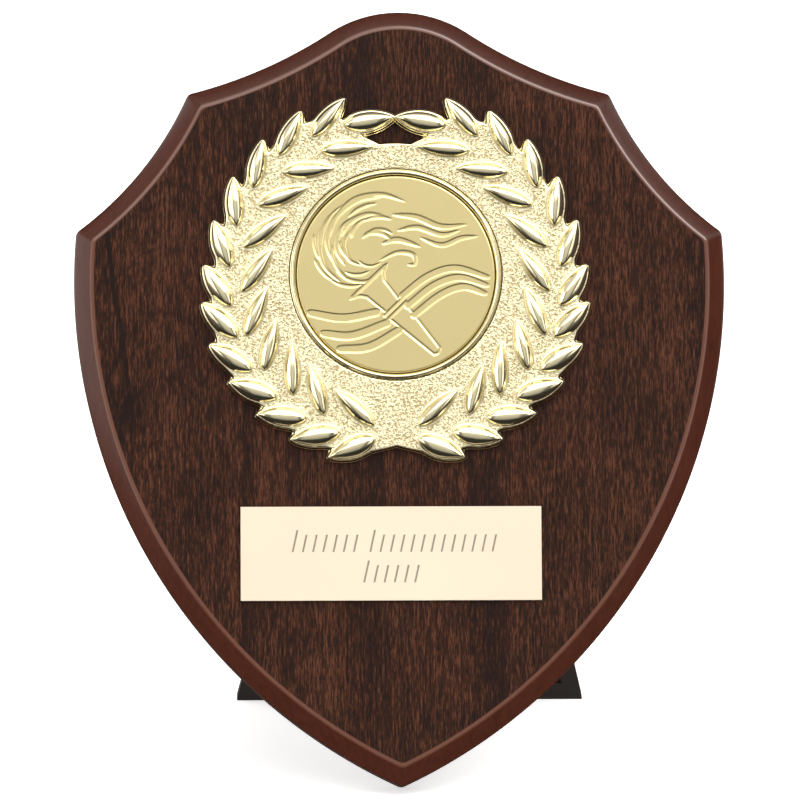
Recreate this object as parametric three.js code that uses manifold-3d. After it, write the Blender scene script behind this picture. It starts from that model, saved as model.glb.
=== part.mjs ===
// An award shield: a foil-wrapped wooden board in the shape of a heraldic shield, with a gold
// laurel wreath round an embossed centre disc, an engraving plate below it, and a black moulded
// strut behind that lets it stand. Millimetres, Z up, the shield faces -Y and leans back.

import * as THREE from 'three';
import { mergeVertices } from 'three/addons/utils/BufferGeometryUtils.js';
import Module from 'manifold-3d';

const wasm = await Module();
wasm.setup();

const v2 = (x, y) => new THREE.Vector2(x, y);

// Driving sizes of the board
const boardHeight = 200;
const boardThickness = 15;
const lean = THREE.MathUtils.degToRad(18);
const crownRadius = 32.3;
const neckRadius = 118.6;
const earReach = 54.4;
const earHeight = 178.6;
const ear = v2(earReach, earHeight);
const scoopRadius = 88.6;
const shoulderReach = 83.2;
const shoulderHeight = 142.6;
const shoulder = v2(shoulderReach, shoulderHeight);
const sideRadius = 142.8;
const cornerReach = 1.1;
const bevelWidth = 4.6;
const bevelDepth = 4.2;
const bevelFullness = 1.12;
const backArris = 0.5;

// Clearances: the tape under what is stuck on, and the play round what is slid or dropped in
const bondGap = 0.3;
const seatGap = 0.3;

// Driving sizes of the centre disc and its relief
const discRadius = 25.4;
const discThickness = 1.0;
const reliefHeight = 0.35;
const reliefRoot = 0.2;
const flameWidth = 1.0;
const torchLineWidth = 0.8;
const ribbonWidth = 1.7;
const torchAngle = THREE.MathUtils.degToRad(-46);
const torchTop = v2(-6.9, -1.9);
const torchLip = 5.9;
const torchFlare = 6.5;
const torchWaist = 3.1;
const torchNeck = 2.4;
const torchCollar = 3.2;
const torchGrip = 2.8;
const torchTail = 1.1;
const torchBowl = 8.3;
const torchLength = 25;
const whirlCentre = v2(-7.4, 6);

// Driving sizes of the wreath that carries the disc
const trimHeight = 130.9;
const trimOffset = -1.2;
const trimFloor = 0.8;
const groundThickness = 1.9;
const beadWidth = 1.35;
const beadRise = 0.8;
const wreathRadius = 46.5;
const outerLeafLength = 12.8;
const innerLeafLength = 13.7;
const topLeafLength = 13.3;
const outerLeafWidth = 5.5;
const innerLeafWidth = 4.5;
const topLeafWidth = 5.3;
const leafRise = 1.9;
const leafRoot = 0.25;
const leafFlange = 0.45;
const outerLeaves = 12;
const innerLeaves = 10;

// Driving sizes of the engraving plate and of the strokes in it
const plateWidth = 76.8;
const plateHeight = 24;
const plateThickness = 0.8;
const plateLevel = 59.3;
const plateOffset = -2.7;
const strokeDepth = 0.2;
const strokeWidth = 0.5;
const strokePitch = 2.6;
const strokeSlant = 0.22;
const tallStroke = 5.6;
const lowStroke = 4.4;
const words = [
  { start: -25.4, strokes: 7, foot: 0.4 },
  { start: -5.6, strokes: 13, foot: 0.4 },
  { start: -7.2, strokes: 6, foot: -7.4 },
];

// Driving sizes of the strut
const strutOffset = 5;
const strutOpening = THREE.MathUtils.degToRad(36.5);
const strutApex = 131;
const strutThickness = 2.8;
const strutTopWidth = 36;
const strutFootWidth = 94.3;
const strutRim = 4.6;
const strutPanelDepth = 0.9;
const footPad = 14;
const footRamp = 6;
const footArch = 1.5;
const footCorner = 1.3;
const tongueWidth = 30;
const tongueThickness = 2.4;

// Driving sizes of the bracket and the screws
const socketHeight = 16;
const socketDrop = 8;
const socketWall = 1.5;
const bracketWidth = 44;
const bracketThickness = 2.4;
const bracketCorner = 4;
const bracketAbove = 14;
const bracketBelow = 4;
const screwSpacing = 26;
const screwRise = 8;
const screwShank = 1.5;
const screwLength = 11;
const screwHead = 3.2;
const screwHeadRise = 1.8;

// Facets of the round shapes, and how far a cutting shape runs past what it cuts
const discFacets = 48;
const groundFacets = 60;
const beadFacets = 40;
const boreFacets = 12;
const shankFacets = 10;
const headFacets = 14;
const over = 1;
const weld = 0.2;

const bondedFace = boardThickness + bondGap;

// Solids: a closed geometry becomes a solid to cut and join, and comes back as a geometry
function solid(geometry, matrix) {
  const bare = geometry.index ? geometry.clone() : geometry;
  for (const name of Object.keys(bare.attributes)) {
    if (name !== 'position') bare.deleteAttribute(name);
  }
  if (matrix) bare.applyMatrix4(matrix);
  const merged = mergeVertices(bare, 1e-4);
  return new wasm.Manifold(new wasm.Mesh({
    numProp: 3,
    vertProperties: new Float32Array(merged.attributes.position.array),
    triVerts: new Uint32Array(merged.index.array),
  }));
}

function geometryOf(body) {
  const mesh = body.getMesh();
  const geometry = new THREE.BufferGeometry();
  geometry.setAttribute('position', new THREE.BufferAttribute(mesh.vertProperties, 3));
  geometry.setIndex(new THREE.BufferAttribute(mesh.triVerts, 1));
  geometry.computeVertexNormals();
  return geometry;
}

function indexed(positions, index) {
  const geometry = new THREE.BufferGeometry();
  geometry.setAttribute('position', new THREE.Float32BufferAttribute(positions, 3));
  geometry.setIndex(index);
  return geometry;
}

const moved = (x, y, z) => new THREE.Matrix4().makeTranslation(x, y, z);

function box(x0, x1, y0, y1, z0, z1) {
  const geometry = new THREE.BoxGeometry(x1 - x0, y1 - y0, z1 - z0);
  return solid(geometry, moved((x0 + x1) / 2, (y0 + y1) / 2, (z0 + z1) / 2));
}

// A round pin or hole along Z, from z0 to z1
function round(radius, z0, z1, facets, x = 0, y = 0) {
  const geometry = new THREE.CylinderGeometry(radius, radius, z1 - z0, facets);
  geometry.rotateX(Math.PI / 2);
  return solid(geometry, moved(x, y, (z0 + z1) / 2));
}

// A turned shape about Z through pairs of radius and height
function turned(profile, facets) {
  const geometry = new THREE.LatheGeometry(profile, facets);
  geometry.rotateX(Math.PI / 2);
  return solid(geometry);
}

function slab(points, z0, z1) {
  const shape = new THREE.Shape(points);
  const geometry = new THREE.ExtrudeGeometry(shape, { depth: z1 - z0, bevelEnabled: false, steps: 1 });
  return solid(geometry, moved(0, 0, z0));
}

// A solid through a stack of outlines with as many points each, counterclockwise, lowest first
function stacked(levels) {
  const count = levels[0].points.length;
  const positions = levels.flatMap(({ points, z }) => points.flatMap((p) => [p.x, p.y, z]));
  const index = [];
  for (let level = 0; level + 1 < levels.length; level += 1) {
    for (let i = 0; i < count; i += 1) {
      const a = level * count + i;
      const b = level * count + ((i + 1) % count);
      index.push(a, b, b + count, a, b + count, a + count);
    }
  }
  const lowest = THREE.ShapeUtils.triangulateShape(levels[0].points, []);
  const highest = THREE.ShapeUtils.triangulateShape(levels[levels.length - 1].points, []);
  const top = (levels.length - 1) * count;
  lowest.forEach(([a, b, c]) => index.push(a, c, b));
  highest.forEach(([a, b, c]) => index.push(top + a, top + b, top + c));
  return indexed(positions, index);
}

// The shield's outline: arcs from the crown to the tip, mirrored about the middle
function meetCircles(c1, r1, c2, r2, side) {
  const line = c2.clone().sub(c1);
  const distance = line.length();
  line.normalize();
  const reach = (r1 * r1 - r2 * r2 + distance * distance) / (2 * distance);
  const rise = Math.sqrt(Math.max(r1 * r1 - reach * reach, 0));
  return c1.clone().addScaledVector(line, reach).addScaledVector(v2(-line.y, line.x), side * rise);
}

const tip = v2(0, 0);
const crownCentre = v2(0, boardHeight - crownRadius);
const neckCentre = meetCircles(crownCentre, crownRadius + neckRadius, ear, neckRadius, 1);
const scoopCentre = meetCircles(ear, scoopRadius, shoulder, scoopRadius, 1);
const sideCentre = meetCircles(shoulder, sideRadius, tip, sideRadius, -1);

function arc(centre, radius, from, to, steps) {
  const a0 = Math.atan2(from.y - centre.y, from.x - centre.x);
  const a1 = Math.atan2(to.y - centre.y, to.x - centre.x);
  return Array.from({ length: steps + 1 }, (_, i) => {
    const a = a0 + ((a1 - a0) * i) / steps;
    return v2(centre.x + radius * Math.cos(a), centre.y + radius * Math.sin(a));
  });
}

// The point that lies a given way back along an arc from its end
function backAlong(centre, radius, end, towards, reach) {
  const turn = Math.sign(end.clone().sub(centre).cross(towards.clone().sub(centre))) * (reach / radius);
  return end.clone().rotateAround(centre, turn);
}

function softCorner(before, corner, after, steps) {
  const curve = new THREE.QuadraticBezierCurve(before, corner, after);
  return curve.getPoints(steps).slice(1, -1);
}

function shieldOutline(inset) {
  const crown = crownRadius - inset;
  const neck = neckRadius + inset;
  const scoop = scoopRadius + inset;
  const side = sideRadius - inset;
  const top = v2(0, crownCentre.y + crown);
  const blend = crownCentre.clone().lerp(neckCentre, crown / (crown + neck));
  const earPoint = meetCircles(neckCentre, neck, scoopCentre, scoop, -1);
  const shoulderPoint = meetCircles(scoopCentre, scoop, sideCentre, side, 1);
  const tipPoint = v2(0, sideCentre.y - Math.sqrt(side * side - sideCentre.x * sideCentre.x));
  const neckEnd = backAlong(neckCentre, neck, earPoint, blend, cornerReach);
  const scoopStart = backAlong(scoopCentre, scoop, earPoint, shoulderPoint, cornerReach);
  const scoopEnd = backAlong(scoopCentre, scoop, shoulderPoint, earPoint, cornerReach);
  const sideStart = backAlong(sideCentre, side, shoulderPoint, tipPoint, cornerReach);
  const sideEnd = backAlong(sideCentre, side, tipPoint, shoulderPoint, cornerReach);
  const tipFlank = v2(-sideEnd.x, sideEnd.y);
  const half = [
    ...arc(crownCentre, crown, top, blend, 5),
    ...arc(neckCentre, neck, blend, neckEnd, 6).slice(1),
    ...softCorner(neckEnd, earPoint, scoopStart, 3),
    ...arc(scoopCentre, scoop, scoopStart, scoopEnd, 7),
    ...softCorner(scoopEnd, shoulderPoint, sideStart, 3),
    ...arc(sideCentre, side, sideStart, sideEnd, 16),
    softCorner(sideEnd, tipPoint, tipFlank, 2)[0],
  ];
  const mirrored = half.slice(1, -1).map((p) => v2(-p.x, p.y));
  return [...mirrored, ...half.slice().reverse()];
}

// The front edge is a rounded chamfer, fuller than a flat one; the back has a small arris
function boardLevels() {
  const levels = [
    { inset: backArris, z: 0 },
    { inset: 0, z: backArris },
  ];
  const steps = 4;
  for (let i = 0; i <= steps; i += 1) {
    const turn = (i / steps) * (Math.PI / 2);
    const out = Math.cos(turn) ** (2 / bevelFullness);
    const up = Math.sin(turn) ** (2 / bevelFullness);
    levels.push({
      inset: bevelWidth * (1 - out),
      z: boardThickness - bevelDepth + bevelDepth * up,
    });
  }
  return levels.map(({ inset, z }) => ({ points: shieldOutline(inset), z }));
}

const levels = boardLevels();
const heightOverGround = (y, z) => y * Math.cos(lean) + z * Math.sin(lean);
const restHeight = Math.min(
  ...levels.flatMap(({ points, z }) => points.map((p) => heightOverGround(p.y, z))),
);

// Screws sit either side of the strut's middle, above its apex
const screwLevel = strutApex + screwRise;
const screwPlaces = [-1, 1].map((side) => side * (screwSpacing / 2));

function shieldBoard() {
  let board = solid(stacked(levels));
  const depth = screwLength + seatGap;
  for (const x of screwPlaces) {
    const pilot = round(screwShank + seatGap, -over, depth, boreFacets, strutOffset - x, screwLevel);
    board = board.subtract(pilot);
  }
  return geometryOf(board);
}

// Values that change along a branch of the wreath: pairs of place and value, joined by lines
function along(stations, place) {
  const next = stations.findIndex(([at]) => at >= place);
  if (next <= 0) return stations[Math.max(next, 0)][1];
  const [p0, a] = stations[next - 1];
  const [p1, b] = stations[next];
  return a + ((b - a) * (place - p0)) / (p1 - p0);
}

// A place on the wreath: angle from straight down, in degrees, towards one side
function polar(angle, radius) {
  const a = THREE.MathUtils.degToRad(angle);
  return v2(Math.sin(a) * radius, -Math.cos(a) * radius);
}

// How the leaves spread, lie and turn along a branch; rings are shares of the wreath's radius
const outerSpread = [[0, 14.2], [0.455, 75.3], [0.545, 86.2], [0.636, 99.9], [0.909, 143.5], [1, 157]];
const outerRing = [[0, 0.99], [0.36, 1.021], [0.55, 0.983], [0.64, 0.972], [0.91, 0.975], [1, 0.946]];
const outerTurn = [[0, 54], [0.3, 58], [1, 63]];
const outerBroad = [[0, 1], [0.55, 0.95], [0.75, 0.84], [1, 0.8]];
const innerSpread = [
  [0, 17.3], [0.111, 34.3], [0.333, 60.5], [0.444, 74.8], [0.778, 125.1], [0.889, 140.4], [1, 159.2],
];
const innerRing = [[0, 0.775], [0.222, 0.776], [0.333, 0.797], [0.444, 0.796], [0.556, 0.763], [1, 0.746]];
const innerTurn = [[0, 115.1], [0.111, 129.5], [0.333, 133.5], [0.556, 124], [0.889, 125.2], [1, 106]];
const innerBroad = [[0, 1], [1, 1]];
const groundRing = [
  [0, 0.95], [7, 0.985], [21, 1.03], [47, 1.035], [60, 1.065], [71, 1.047], [83, 1.017],
  [95, 0.987], [121, 0.972], [150, 0.977], [161, 0.915], [167, 0.785], [173, 0.73], [180, 0.73],
];

function branch(count, { spread, rings, turns, broad, length, width, outer }) {
  return Array.from({ length: count }, (_, i) => {
    const t = i / (count - 1);
    return {
      angle: along(spread, t),
      ring: along(rings, t),
      turn: along(turns, t),
      length,
      width: width * along(broad, t),
      outer,
    };
  });
}

const leafPlaces = [
  ...branch(outerLeaves, {
    spread: outerSpread,
    rings: outerRing,
    turns: outerTurn,
    broad: outerBroad,
    length: outerLeafLength,
    width: outerLeafWidth,
    outer: true,
  }),
  ...branch(innerLeaves, {
    spread: innerSpread,
    rings: innerRing,
    turns: innerTurn,
    broad: innerBroad,
    length: innerLeafLength,
    width: innerLeafWidth,
    outer: false,
  }),
  { angle: 170.4, ring: 0.864, turn: 89.8, length: topLeafLength, width: topLeafWidth, outer: true },
];

// Half the width of a leaf along its length, from its blunt root to its sharp tip
const rootFullness = 0.62;
const tipFullness = 0.85;
const leafSwell = (t) => t ** rootFullness * (1 - t) ** tipFullness;
const broadest = rootFullness / (rootFullness + tipFullness);
const leafSpread = (t) => leafSwell(t) / leafSwell(broadest);
const leafSteps = 6;

function almond(length, width, steps) {
  const flank = Array.from({ length: steps - 1 }, (_, i) => (i + 1) / steps);
  const edge = (t, side) => v2((t - 0.5) * length, side * leafSpread(t) * (width / 2));
  return [
    v2(-length / 2, 0),
    ...flank.map((t) => edge(t, -1)),
    v2(length / 2, 0),
    ...flank.slice().reverse().map((t) => edge(t, 1)),
  ];
}

// A leaf: a domed almond with a crest along its middle, on a flat base that sinks in the ground
function leafDome(length, width) {
  const across = [-1, -0.55, 0, 0.55, 1];
  const crown = (s) => 1 - Math.abs(s) ** 1.6;
  const positions = [-length / 2, 0, -leafRoot, length / 2, 0, -leafRoot];
  const index = [];
  for (let i = 1; i < leafSteps; i += 1) {
    const t = i / leafSteps;
    const half = leafSpread(t) * (width / 2);
    const rise = leafRise * leafSpread(t) ** 0.7 + leafRoot;
    across.forEach((s) => positions.push((t - 0.5) * length, s * half, crown(s) * rise - leafRoot));
  }
  const n = across.length;
  const last = leafSteps - 1;
  const at = (i, j) => 2 + (i - 1) * n + j;
  for (let j = 0; j + 1 < n; j += 1) {
    index.push(0, at(1, j), at(1, j + 1));
    index.push(1, at(last, j + 1), at(last, j));
  }
  index.push(0, at(1, n - 1), at(1, 0), 1, at(last, 0), at(last, n - 1));
  for (let i = 1; i < last; i += 1) {
    for (let j = 0; j + 1 < n; j += 1) {
      index.push(at(i, j), at(i + 1, j), at(i + 1, j + 1));
      index.push(at(i, j), at(i + 1, j + 1), at(i, j + 1));
    }
    index.push(at(i, n - 1), at(i + 1, n - 1), at(i + 1, 0));
    index.push(at(i, n - 1), at(i + 1, 0), at(i, 0));
  }
  return indexed(positions, index);
}

// The bead: a low rounded ring that stands on the ground round the disc's recess
function discBead(inner) {
  const rim = inner + beadWidth;
  const root = groundThickness - leafRoot;
  const top = groundThickness + beadRise;
  return turned([
    v2(inner - weld, root),
    v2(rim, root),
    v2(rim, groundThickness + beadRise * 0.15),
    v2(inner + beadWidth * 0.72, top - beadRise * 0.12),
    v2(inner + beadWidth * 0.4, top),
    v2(inner - weld, top - beadRise * 0.3),
    v2(inner - weld, root),
  ], beadFacets);
}

// One moulding: stippled ground, flanges under the outer leaves, bead round the disc, leaves
function laurelWreath() {
  const half = Array.from({ length: groundFacets / 2 }, (_, i) => {
    const angle = (i + 0.5) * (360 / groundFacets);
    return polar(angle, along(groundRing, angle) * wreathRadius);
  });
  const outline = [...half, ...half.slice().reverse().map((p) => v2(-p.x, p.y))];
  const recess = discRadius + seatGap;
  let trim = slab(outline, 0, groundThickness).add(discBead(recess));
  for (const side of [-1, 1]) {
    for (const { angle, ring, turn, length, width, outer } of leafPlaces) {
      const middle = polar(side * angle, ring * wreathRadius);
      const heading = THREE.MathUtils.degToRad(side * (angle + turn) - 90);
      const place = moved(middle.x, middle.y, groundThickness);
      place.multiply(new THREE.Matrix4().makeRotationZ(heading));
      trim = trim.add(solid(leafDome(length, width), place));
      if (outer) {
        const rim = almond(length + 2 * leafFlange, width + 2 * leafFlange, leafSteps - 1);
        trim = trim.add(slab(rim, -groundThickness, 0).transform(place.elements));
      }
    }
  }
  trim = trim.subtract(round(recess, trimFloor, groundThickness + 2 * beadRise, beadFacets));
  return geometryOf(trim);
}

// A raised line of the relief: a low ridge along a smooth curve, tapered at its ends if wanted
function ridge({ points, width, steps, taper }) {
  const curve = new THREE.SplineCurve(points);
  const positions = [];
  const index = [];
  for (let i = 0; i <= steps; i += 1) {
    const t = i / steps;
    const p = curve.getPoint(t);
    const across = curve.getTangent(t);
    const swell = Math.sin(Math.PI * t);
    const half = (width / 2) * (taper ? 0.25 + 0.75 * swell ** 0.7 : 1);
    const rise = reliefHeight * (taper ? 0.5 + 0.5 * swell : 1);
    for (const [s, z] of [[-1, -reliefRoot], [1, -reliefRoot], [0.45, rise], [-0.45, rise]]) {
      positions.push(p.x + across.y * half * s, p.y - across.x * half * s, z);
    }
  }
  for (let i = 0; i < steps; i += 1) {
    for (let j = 0; j < 4; j += 1) {
      const a = 4 * i + j;
      const b = 4 * i + ((j + 1) % 4);
      index.push(a, b + 4, b, a, a + 4, b + 4);
    }
  }
  const end = 4 * steps;
  index.push(0, 1, 2, 0, 2, 3, end, end + 2, end + 1, end, end + 3, end + 2);
  return indexed(positions, index);
}

// The torch points down to the right: lip, flared bowl, two collar rings and a tapering grip
function torchLines() {
  const at = (down, out) => v2(down, out).rotateAround(v2(0, 0), torchAngle).add(torchTop);
  const collarAt = torchBowl + 0.8;
  const ringAt = collarAt + 1.3;
  const gripAt = ringAt + 0.3;
  const lines = [
    [at(0, -torchLip), at(0, 0), at(0, torchLip)],
    [at(collarAt, -torchCollar), at(collarAt, 0), at(collarAt, torchCollar)],
    [at(ringAt, -torchCollar), at(ringAt, 0), at(ringAt, torchCollar)],
    [at(torchLength, -torchTail), at(torchLength + 0.5, 0), at(torchLength, torchTail)],
  ];
  for (const side of [-1, 1]) {
    const waist = at(torchBowl * 0.3, side * torchWaist);
    lines.push([at(0, side * torchFlare), waist, at(torchBowl, side * torchNeck)]);
    const grip = at((gripAt + torchLength) / 2, side * ((torchGrip + torchTail) / 2));
    lines.push([at(gripAt, side * torchGrip), grip, at(torchLength, side * torchTail)]);
  }
  return lines.map((points) => ({ points, width: torchLineWidth, taper: false, steps: 2 }));
}

// Tongues of flame turn about one centre: from an angle, through a sweep, between two radii
const tongues = [
  [232, 96, 10.6, 13.4], [196, 92, 9.4, 12.8], [160, 86, 10.2, 14.6], [214, 110, 6.8, 9.6],
  [150, 84, 7.6, 10.2], [250, 120, 4.0, 6.8], [292, 80, 7.2, 9.4], [128, 76, 12.6, 16.2],
  [110, 92, 3.6, 7.2], [318, 88, 4.6, 3.2],
];

// Streamers of flame trail off to the right
const streamers = [
  [v2(-0.6, 15.4), v2(5.4, 14.7), v2(11.6, 12.3), v2(18.2, 12.8)],
  [v2(0.6, 11.3), v2(5.6, 12.1), v2(11.8, 10.2), v2(16.4, 11.3)],
  [v2(6.4, 9.4), v2(11.8, 7.5), v2(16.8, 9.3), v2(21, 9.8)],
  [v2(-3.4, 7.9), v2(0.6, 8.9), v2(6.4, 7.1)],
  [v2(-4, 3.6), v2(0.4, 5.6), v2(4.4, 5.1), v2(4.9, 2.7), v2(3, 2.4)],
];

function flameLines() {
  const whirls = tongues.map(([from, sweep, inner, outer]) => [0, 0.35, 0.7, 1].map((t) => {
    const a = THREE.MathUtils.degToRad(from - sweep * t);
    const r = inner + (outer - inner) * t;
    return v2(Math.cos(a), Math.sin(a)).multiplyScalar(r).add(whirlCentre);
  }));
  return [...whirls, ...streamers].map((points) => ({ points, width: flameWidth, taper: true, steps: 5 }));
}

// Three ribbons fly to the left of the collar, and three fan out from it to the right
const ribbons = [
  [v2(-21.9, -10), v2(-13.6, -11.3), v2(-4.9, -9.8)],
  [v2(-18.6, -15.3), v2(-11.2, -15.8), v2(-2.3, -12.6)],
  [v2(-14.4, -19.3), v2(-6.9, -18.7), v2(0.7, -14.5)],
  [v2(1.6, -5.6), v2(8.2, -0.6), v2(15.3, 1.5), v2(23.6, -0.8)],
  [v2(3, -8.2), v2(9.8, -2.9), v2(16.4, -0.9), v2(23.4, -2.9)],
  [v2(4.6, -10.6), v2(11.4, -5.4), v2(17.4, -3.3), v2(22.9, -5)],
];

function ribbonLines() {
  return ribbons.map((points) => ({ points, width: ribbonWidth, taper: false, steps: 5 }));
}

function centreDisc() {
  let disc = round(discRadius, 0, discThickness, discFacets);
  for (const line of [...torchLines(), ...flameLines(), ...ribbonLines()]) {
    disc = disc.add(solid(ridge(line), moved(0, 0, discThickness)));
  }
  return geometryOf(disc);
}

// Rows of slanted strokes stand in for the words: a tall one, then shorter ones
function engravingPlate() {
  const x = plateWidth / 2;
  const y = plateHeight / 2;
  let plate = box(-x, x, -y, y, 0, plateThickness);
  for (const { start, strokes, foot } of words) {
    for (let i = 0; i < strokes; i += 1) {
      const height = i === 0 ? tallStroke : lowStroke;
      const left = start + i * strokePitch;
      const shift = height * strokeSlant;
      const outline = [
        v2(left, foot),
        v2(left + strokeWidth, foot),
        v2(left + strokeWidth + shift, foot + height),
        v2(left + shift, foot + height),
      ];
      plate = plate.subtract(slab(outline, plateThickness - strokeDepth, plateThickness + over));
    }
  }
  return geometryOf(plate);
}

// Behind the board, z runs outwards from its back; the socket lies just below the strut's apex
const tongueIn = bondGap + bracketThickness + seatGap + socketWall;
const tongueOut = tongueIn + tongueThickness;
const tongueMiddle = (tongueIn + tongueOut) / 2;
const socketOut = tongueOut + seatGap + socketWall;
const socketTop = strutApex - socketDrop;
const socketBottom = socketTop - socketHeight;

function roundedPlate(width, y0, y1, corner) {
  const x = width / 2;
  const shape = new THREE.Shape();
  shape.moveTo(-x + corner, y0);
  shape.lineTo(x - corner, y0);
  shape.absarc(x - corner, y0 + corner, corner, -Math.PI / 2, 0, false);
  shape.lineTo(x, y1 - corner);
  shape.absarc(x - corner, y1 - corner, corner, 0, Math.PI / 2, false);
  shape.lineTo(-x + corner, y1);
  shape.absarc(-x + corner, y1 - corner, corner, Math.PI / 2, Math.PI, false);
  shape.lineTo(-x, y0 + corner);
  shape.absarc(-x + corner, y0 + corner, corner, Math.PI, 1.5 * Math.PI, false);
  return shape.getPoints(5);
}

function strutBracket() {
  const top = strutApex + bracketAbove;
  const bottom = socketBottom - bracketBelow;
  const back = bondGap + bracketThickness;
  const slot = tongueWidth / 2 + seatGap;
  const outer = slot + socketWall;
  const plate = slab(roundedPlate(bracketWidth, bottom, top, bracketCorner), bondGap, back);
  const socket = box(-outer, outer, socketBottom, socketTop, back - weld, socketOut);
  const opening = box(
    -slot, slot,
    socketBottom + socketWall, socketTop + over,
    tongueIn - seatGap, tongueOut + seatGap,
  );
  let bracket = plate.add(socket).subtract(opening);
  for (const x of screwPlaces) {
    bracket = bracket.subtract(round(screwShank + seatGap, 0, back + over, boreFacets, x, screwLevel));
  }
  return geometryOf(bracket);
}

// The leg runs down from the apex at y = 0; its length brings the foot to the ground
const splay = strutOpening - lean;
const apexRise = strutApex * Math.cos(lean) - tongueMiddle * Math.sin(lean) - restHeight;
const legLength = apexRise / Math.cos(splay);
const legHalf = strutThickness / 2;
const legFoot = -legLength - legHalf * Math.tan(splay);
const legHalfWidth = (y) => strutTopWidth / 2 - (y / legLength) * ((strutFootWidth - strutTopWidth) / 2);

function legOutline() {
  const x = legHalfWidth(legFoot);
  const edge = (side) => [
    v2(side * (x - footCorner), legFoot),
    v2(side * (x - footCorner * 0.35), legFoot + footCorner * 0.3),
    v2(side * legHalfWidth(legFoot + footCorner), legFoot + footCorner),
    v2(side * legHalfWidth(0), 0),
  ];
  return [...edge(1), ...edge(-1).reverse()];
}

// The foot is hollowed between two pads, so that only its ends touch the ground
function footHollow() {
  const x = legHalfWidth(legFoot) - footPad;
  return [
    v2(-x, legFoot - over),
    v2(x, legFoot - over),
    v2(x - footRamp, legFoot + footArch),
    v2(-x + footRamp, legFoot + footArch),
  ];
}

// Four shallow panels on each face leave a rim, a middle rib and a cross rib
function legPanels() {
  const top = -2.4 * strutRim;
  const foot = legFoot + footArch + strutRim;
  const rib = strutRim / 2;
  const cross = (top + foot) / 2;
  const panels = [];
  for (const [y0, y1] of [[foot, cross - rib], [cross + rib, top]]) {
    const right = [
      v2(rib, y0),
      v2(legHalfWidth(y0) - strutRim, y0),
      v2(legHalfWidth(y1) - strutRim, y1),
      v2(rib, y1),
    ];
    panels.push(right, right.map((p) => v2(-p.x, p.y)).reverse());
  }
  return panels;
}

// The strut: a tongue that drops in the socket, a bend at the apex and a leg down to the ground
function strut() {
  let leg = slab(legOutline(), -legHalf, legHalf);
  leg = leg.subtract(slab(footHollow(), -legHalf - over, legHalf + over));
  for (const panel of legPanels()) {
    leg = leg.subtract(slab(panel, legHalf - strutPanelDepth, legHalf + over));
    leg = leg.subtract(slab(panel, -legHalf - over, -legHalf + strutPanelDepth));
  }
  const apex = moved(0, strutApex, tongueMiddle);
  const hang = apex.clone().multiply(new THREE.Matrix4().makeRotationX(-strutOpening));
  const tongueFoot = socketBottom + socketWall + seatGap;
  const tongue = box(-tongueWidth / 2, tongueWidth / 2, tongueFoot, strutApex, tongueIn, tongueOut);
  const bend = new THREE.CylinderGeometry(legHalf, legHalf, strutTopWidth, 16);
  bend.rotateZ(Math.PI / 2);
  const body = leg.transform(hang.elements).add(tongue).add(solid(bend, apex));
  const footLevel = strutApex - legLength * Math.cos(strutOpening);
  const footOut = tongueMiddle + legLength * Math.sin(strutOpening);
  const depth = 20;
  const ground = new THREE.BoxGeometry(2 * strutFootWidth, depth, 3 * depth);
  const underGround = moved(0, footLevel, footOut);
  underGround.multiply(new THREE.Matrix4().makeRotationX(-lean)).multiply(moved(0, -depth / 2, 0));
  return geometryOf(body.subtract(solid(ground, underGround)));
}

// A pan-head screw with a cross recess
function screw() {
  const seat = bondGap + bracketThickness + seatGap;
  const crown = seat + screwHeadRise;
  const head = turned([
    v2(0, seat),
    v2(screwHead, seat),
    v2(screwHead, seat + screwHeadRise * 0.45),
    v2(screwHead * 0.7, seat + screwHeadRise * 0.9),
    v2(0, crown),
  ], headFacets);
  let body = round(screwShank, -screwLength, seat + weld, shankFacets).add(head);
  const arm = screwHead * 0.55;
  const slit = screwHead * 0.12;
  const floor = seat + screwHeadRise * 0.4;
  body = body.subtract(box(-arm, arm, -slit, slit, floor, crown + over));
  body = body.subtract(box(-slit, slit, -arm, arm, floor, crown + over));
  return geometryOf(body);
}

// Finishes
function finish(color, roughness, metalness) {
  return new THREE.MeshStandardMaterial({ color, roughness, metalness });
}

const darkWood = finish(0x42302a, 0.38, 0);
const palePlating = finish(0xe8dca4, 0.22, 1);
const satinGold = finish(0xcdbe87, 0.35, 1);
const creamMetal = finish(0xf6ead0, 0.45, 1);
const blackPlastic = finish(0x262424, 0.5, 0);
const zincSteel = finish(0xb9b8b2, 0.35, 1);

function piece(name, geometry, material, x = 0, y = 0, z = 0) {
  const mesh = new THREE.Mesh(geometry, material);
  mesh.name = name;
  mesh.position.set(x, y, z);
  return mesh;
}

// Assembly: the shield stands in its own frame, y up its face and z out of it, and is then leant
const discFloor = bondedFace + trimFloor + seatGap;
const shield = new THREE.Group();
shield.rotation.x = Math.PI / 2 - lean;
shield.add(piece('shield_board', shieldBoard(), darkWood));
shield.add(piece('laurel_wreath', laurelWreath(), palePlating, trimOffset, trimHeight, bondedFace));
shield.add(piece('centre_disc', centreDisc(), satinGold, trimOffset, trimHeight, discFloor));
shield.add(piece('engraving_plate', engravingPlate(), creamMetal, plateOffset, plateLevel, bondedFace));

const behind = new THREE.Group();
behind.rotation.y = Math.PI;
behind.position.x = strutOffset;
behind.add(piece('strut_bracket', strutBracket(), blackPlastic));
behind.add(piece('strut', strut(), blackPlastic));
screwPlaces.forEach((x, i) => {
  behind.add(piece(`bracket_screw_${i + 1}`, screw(), zincSteel, x, screwLevel));
});
shield.add(behind);

// The origin is the middle of the footprint, on the ground
const group = new THREE.Group();
group.add(shield);
group.updateMatrixWorld(true);
const extent = new THREE.Box3().setFromObject(group, true);
const middle = extent.getCenter(new THREE.Vector3());
shield.position.set(-middle.x, -middle.y, -extent.min.z);

export default group;
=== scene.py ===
"""An award shield: foil-wrapped wood, a plated laurel wreath, an embossed disc, a plate and a strut."""

import math

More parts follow.
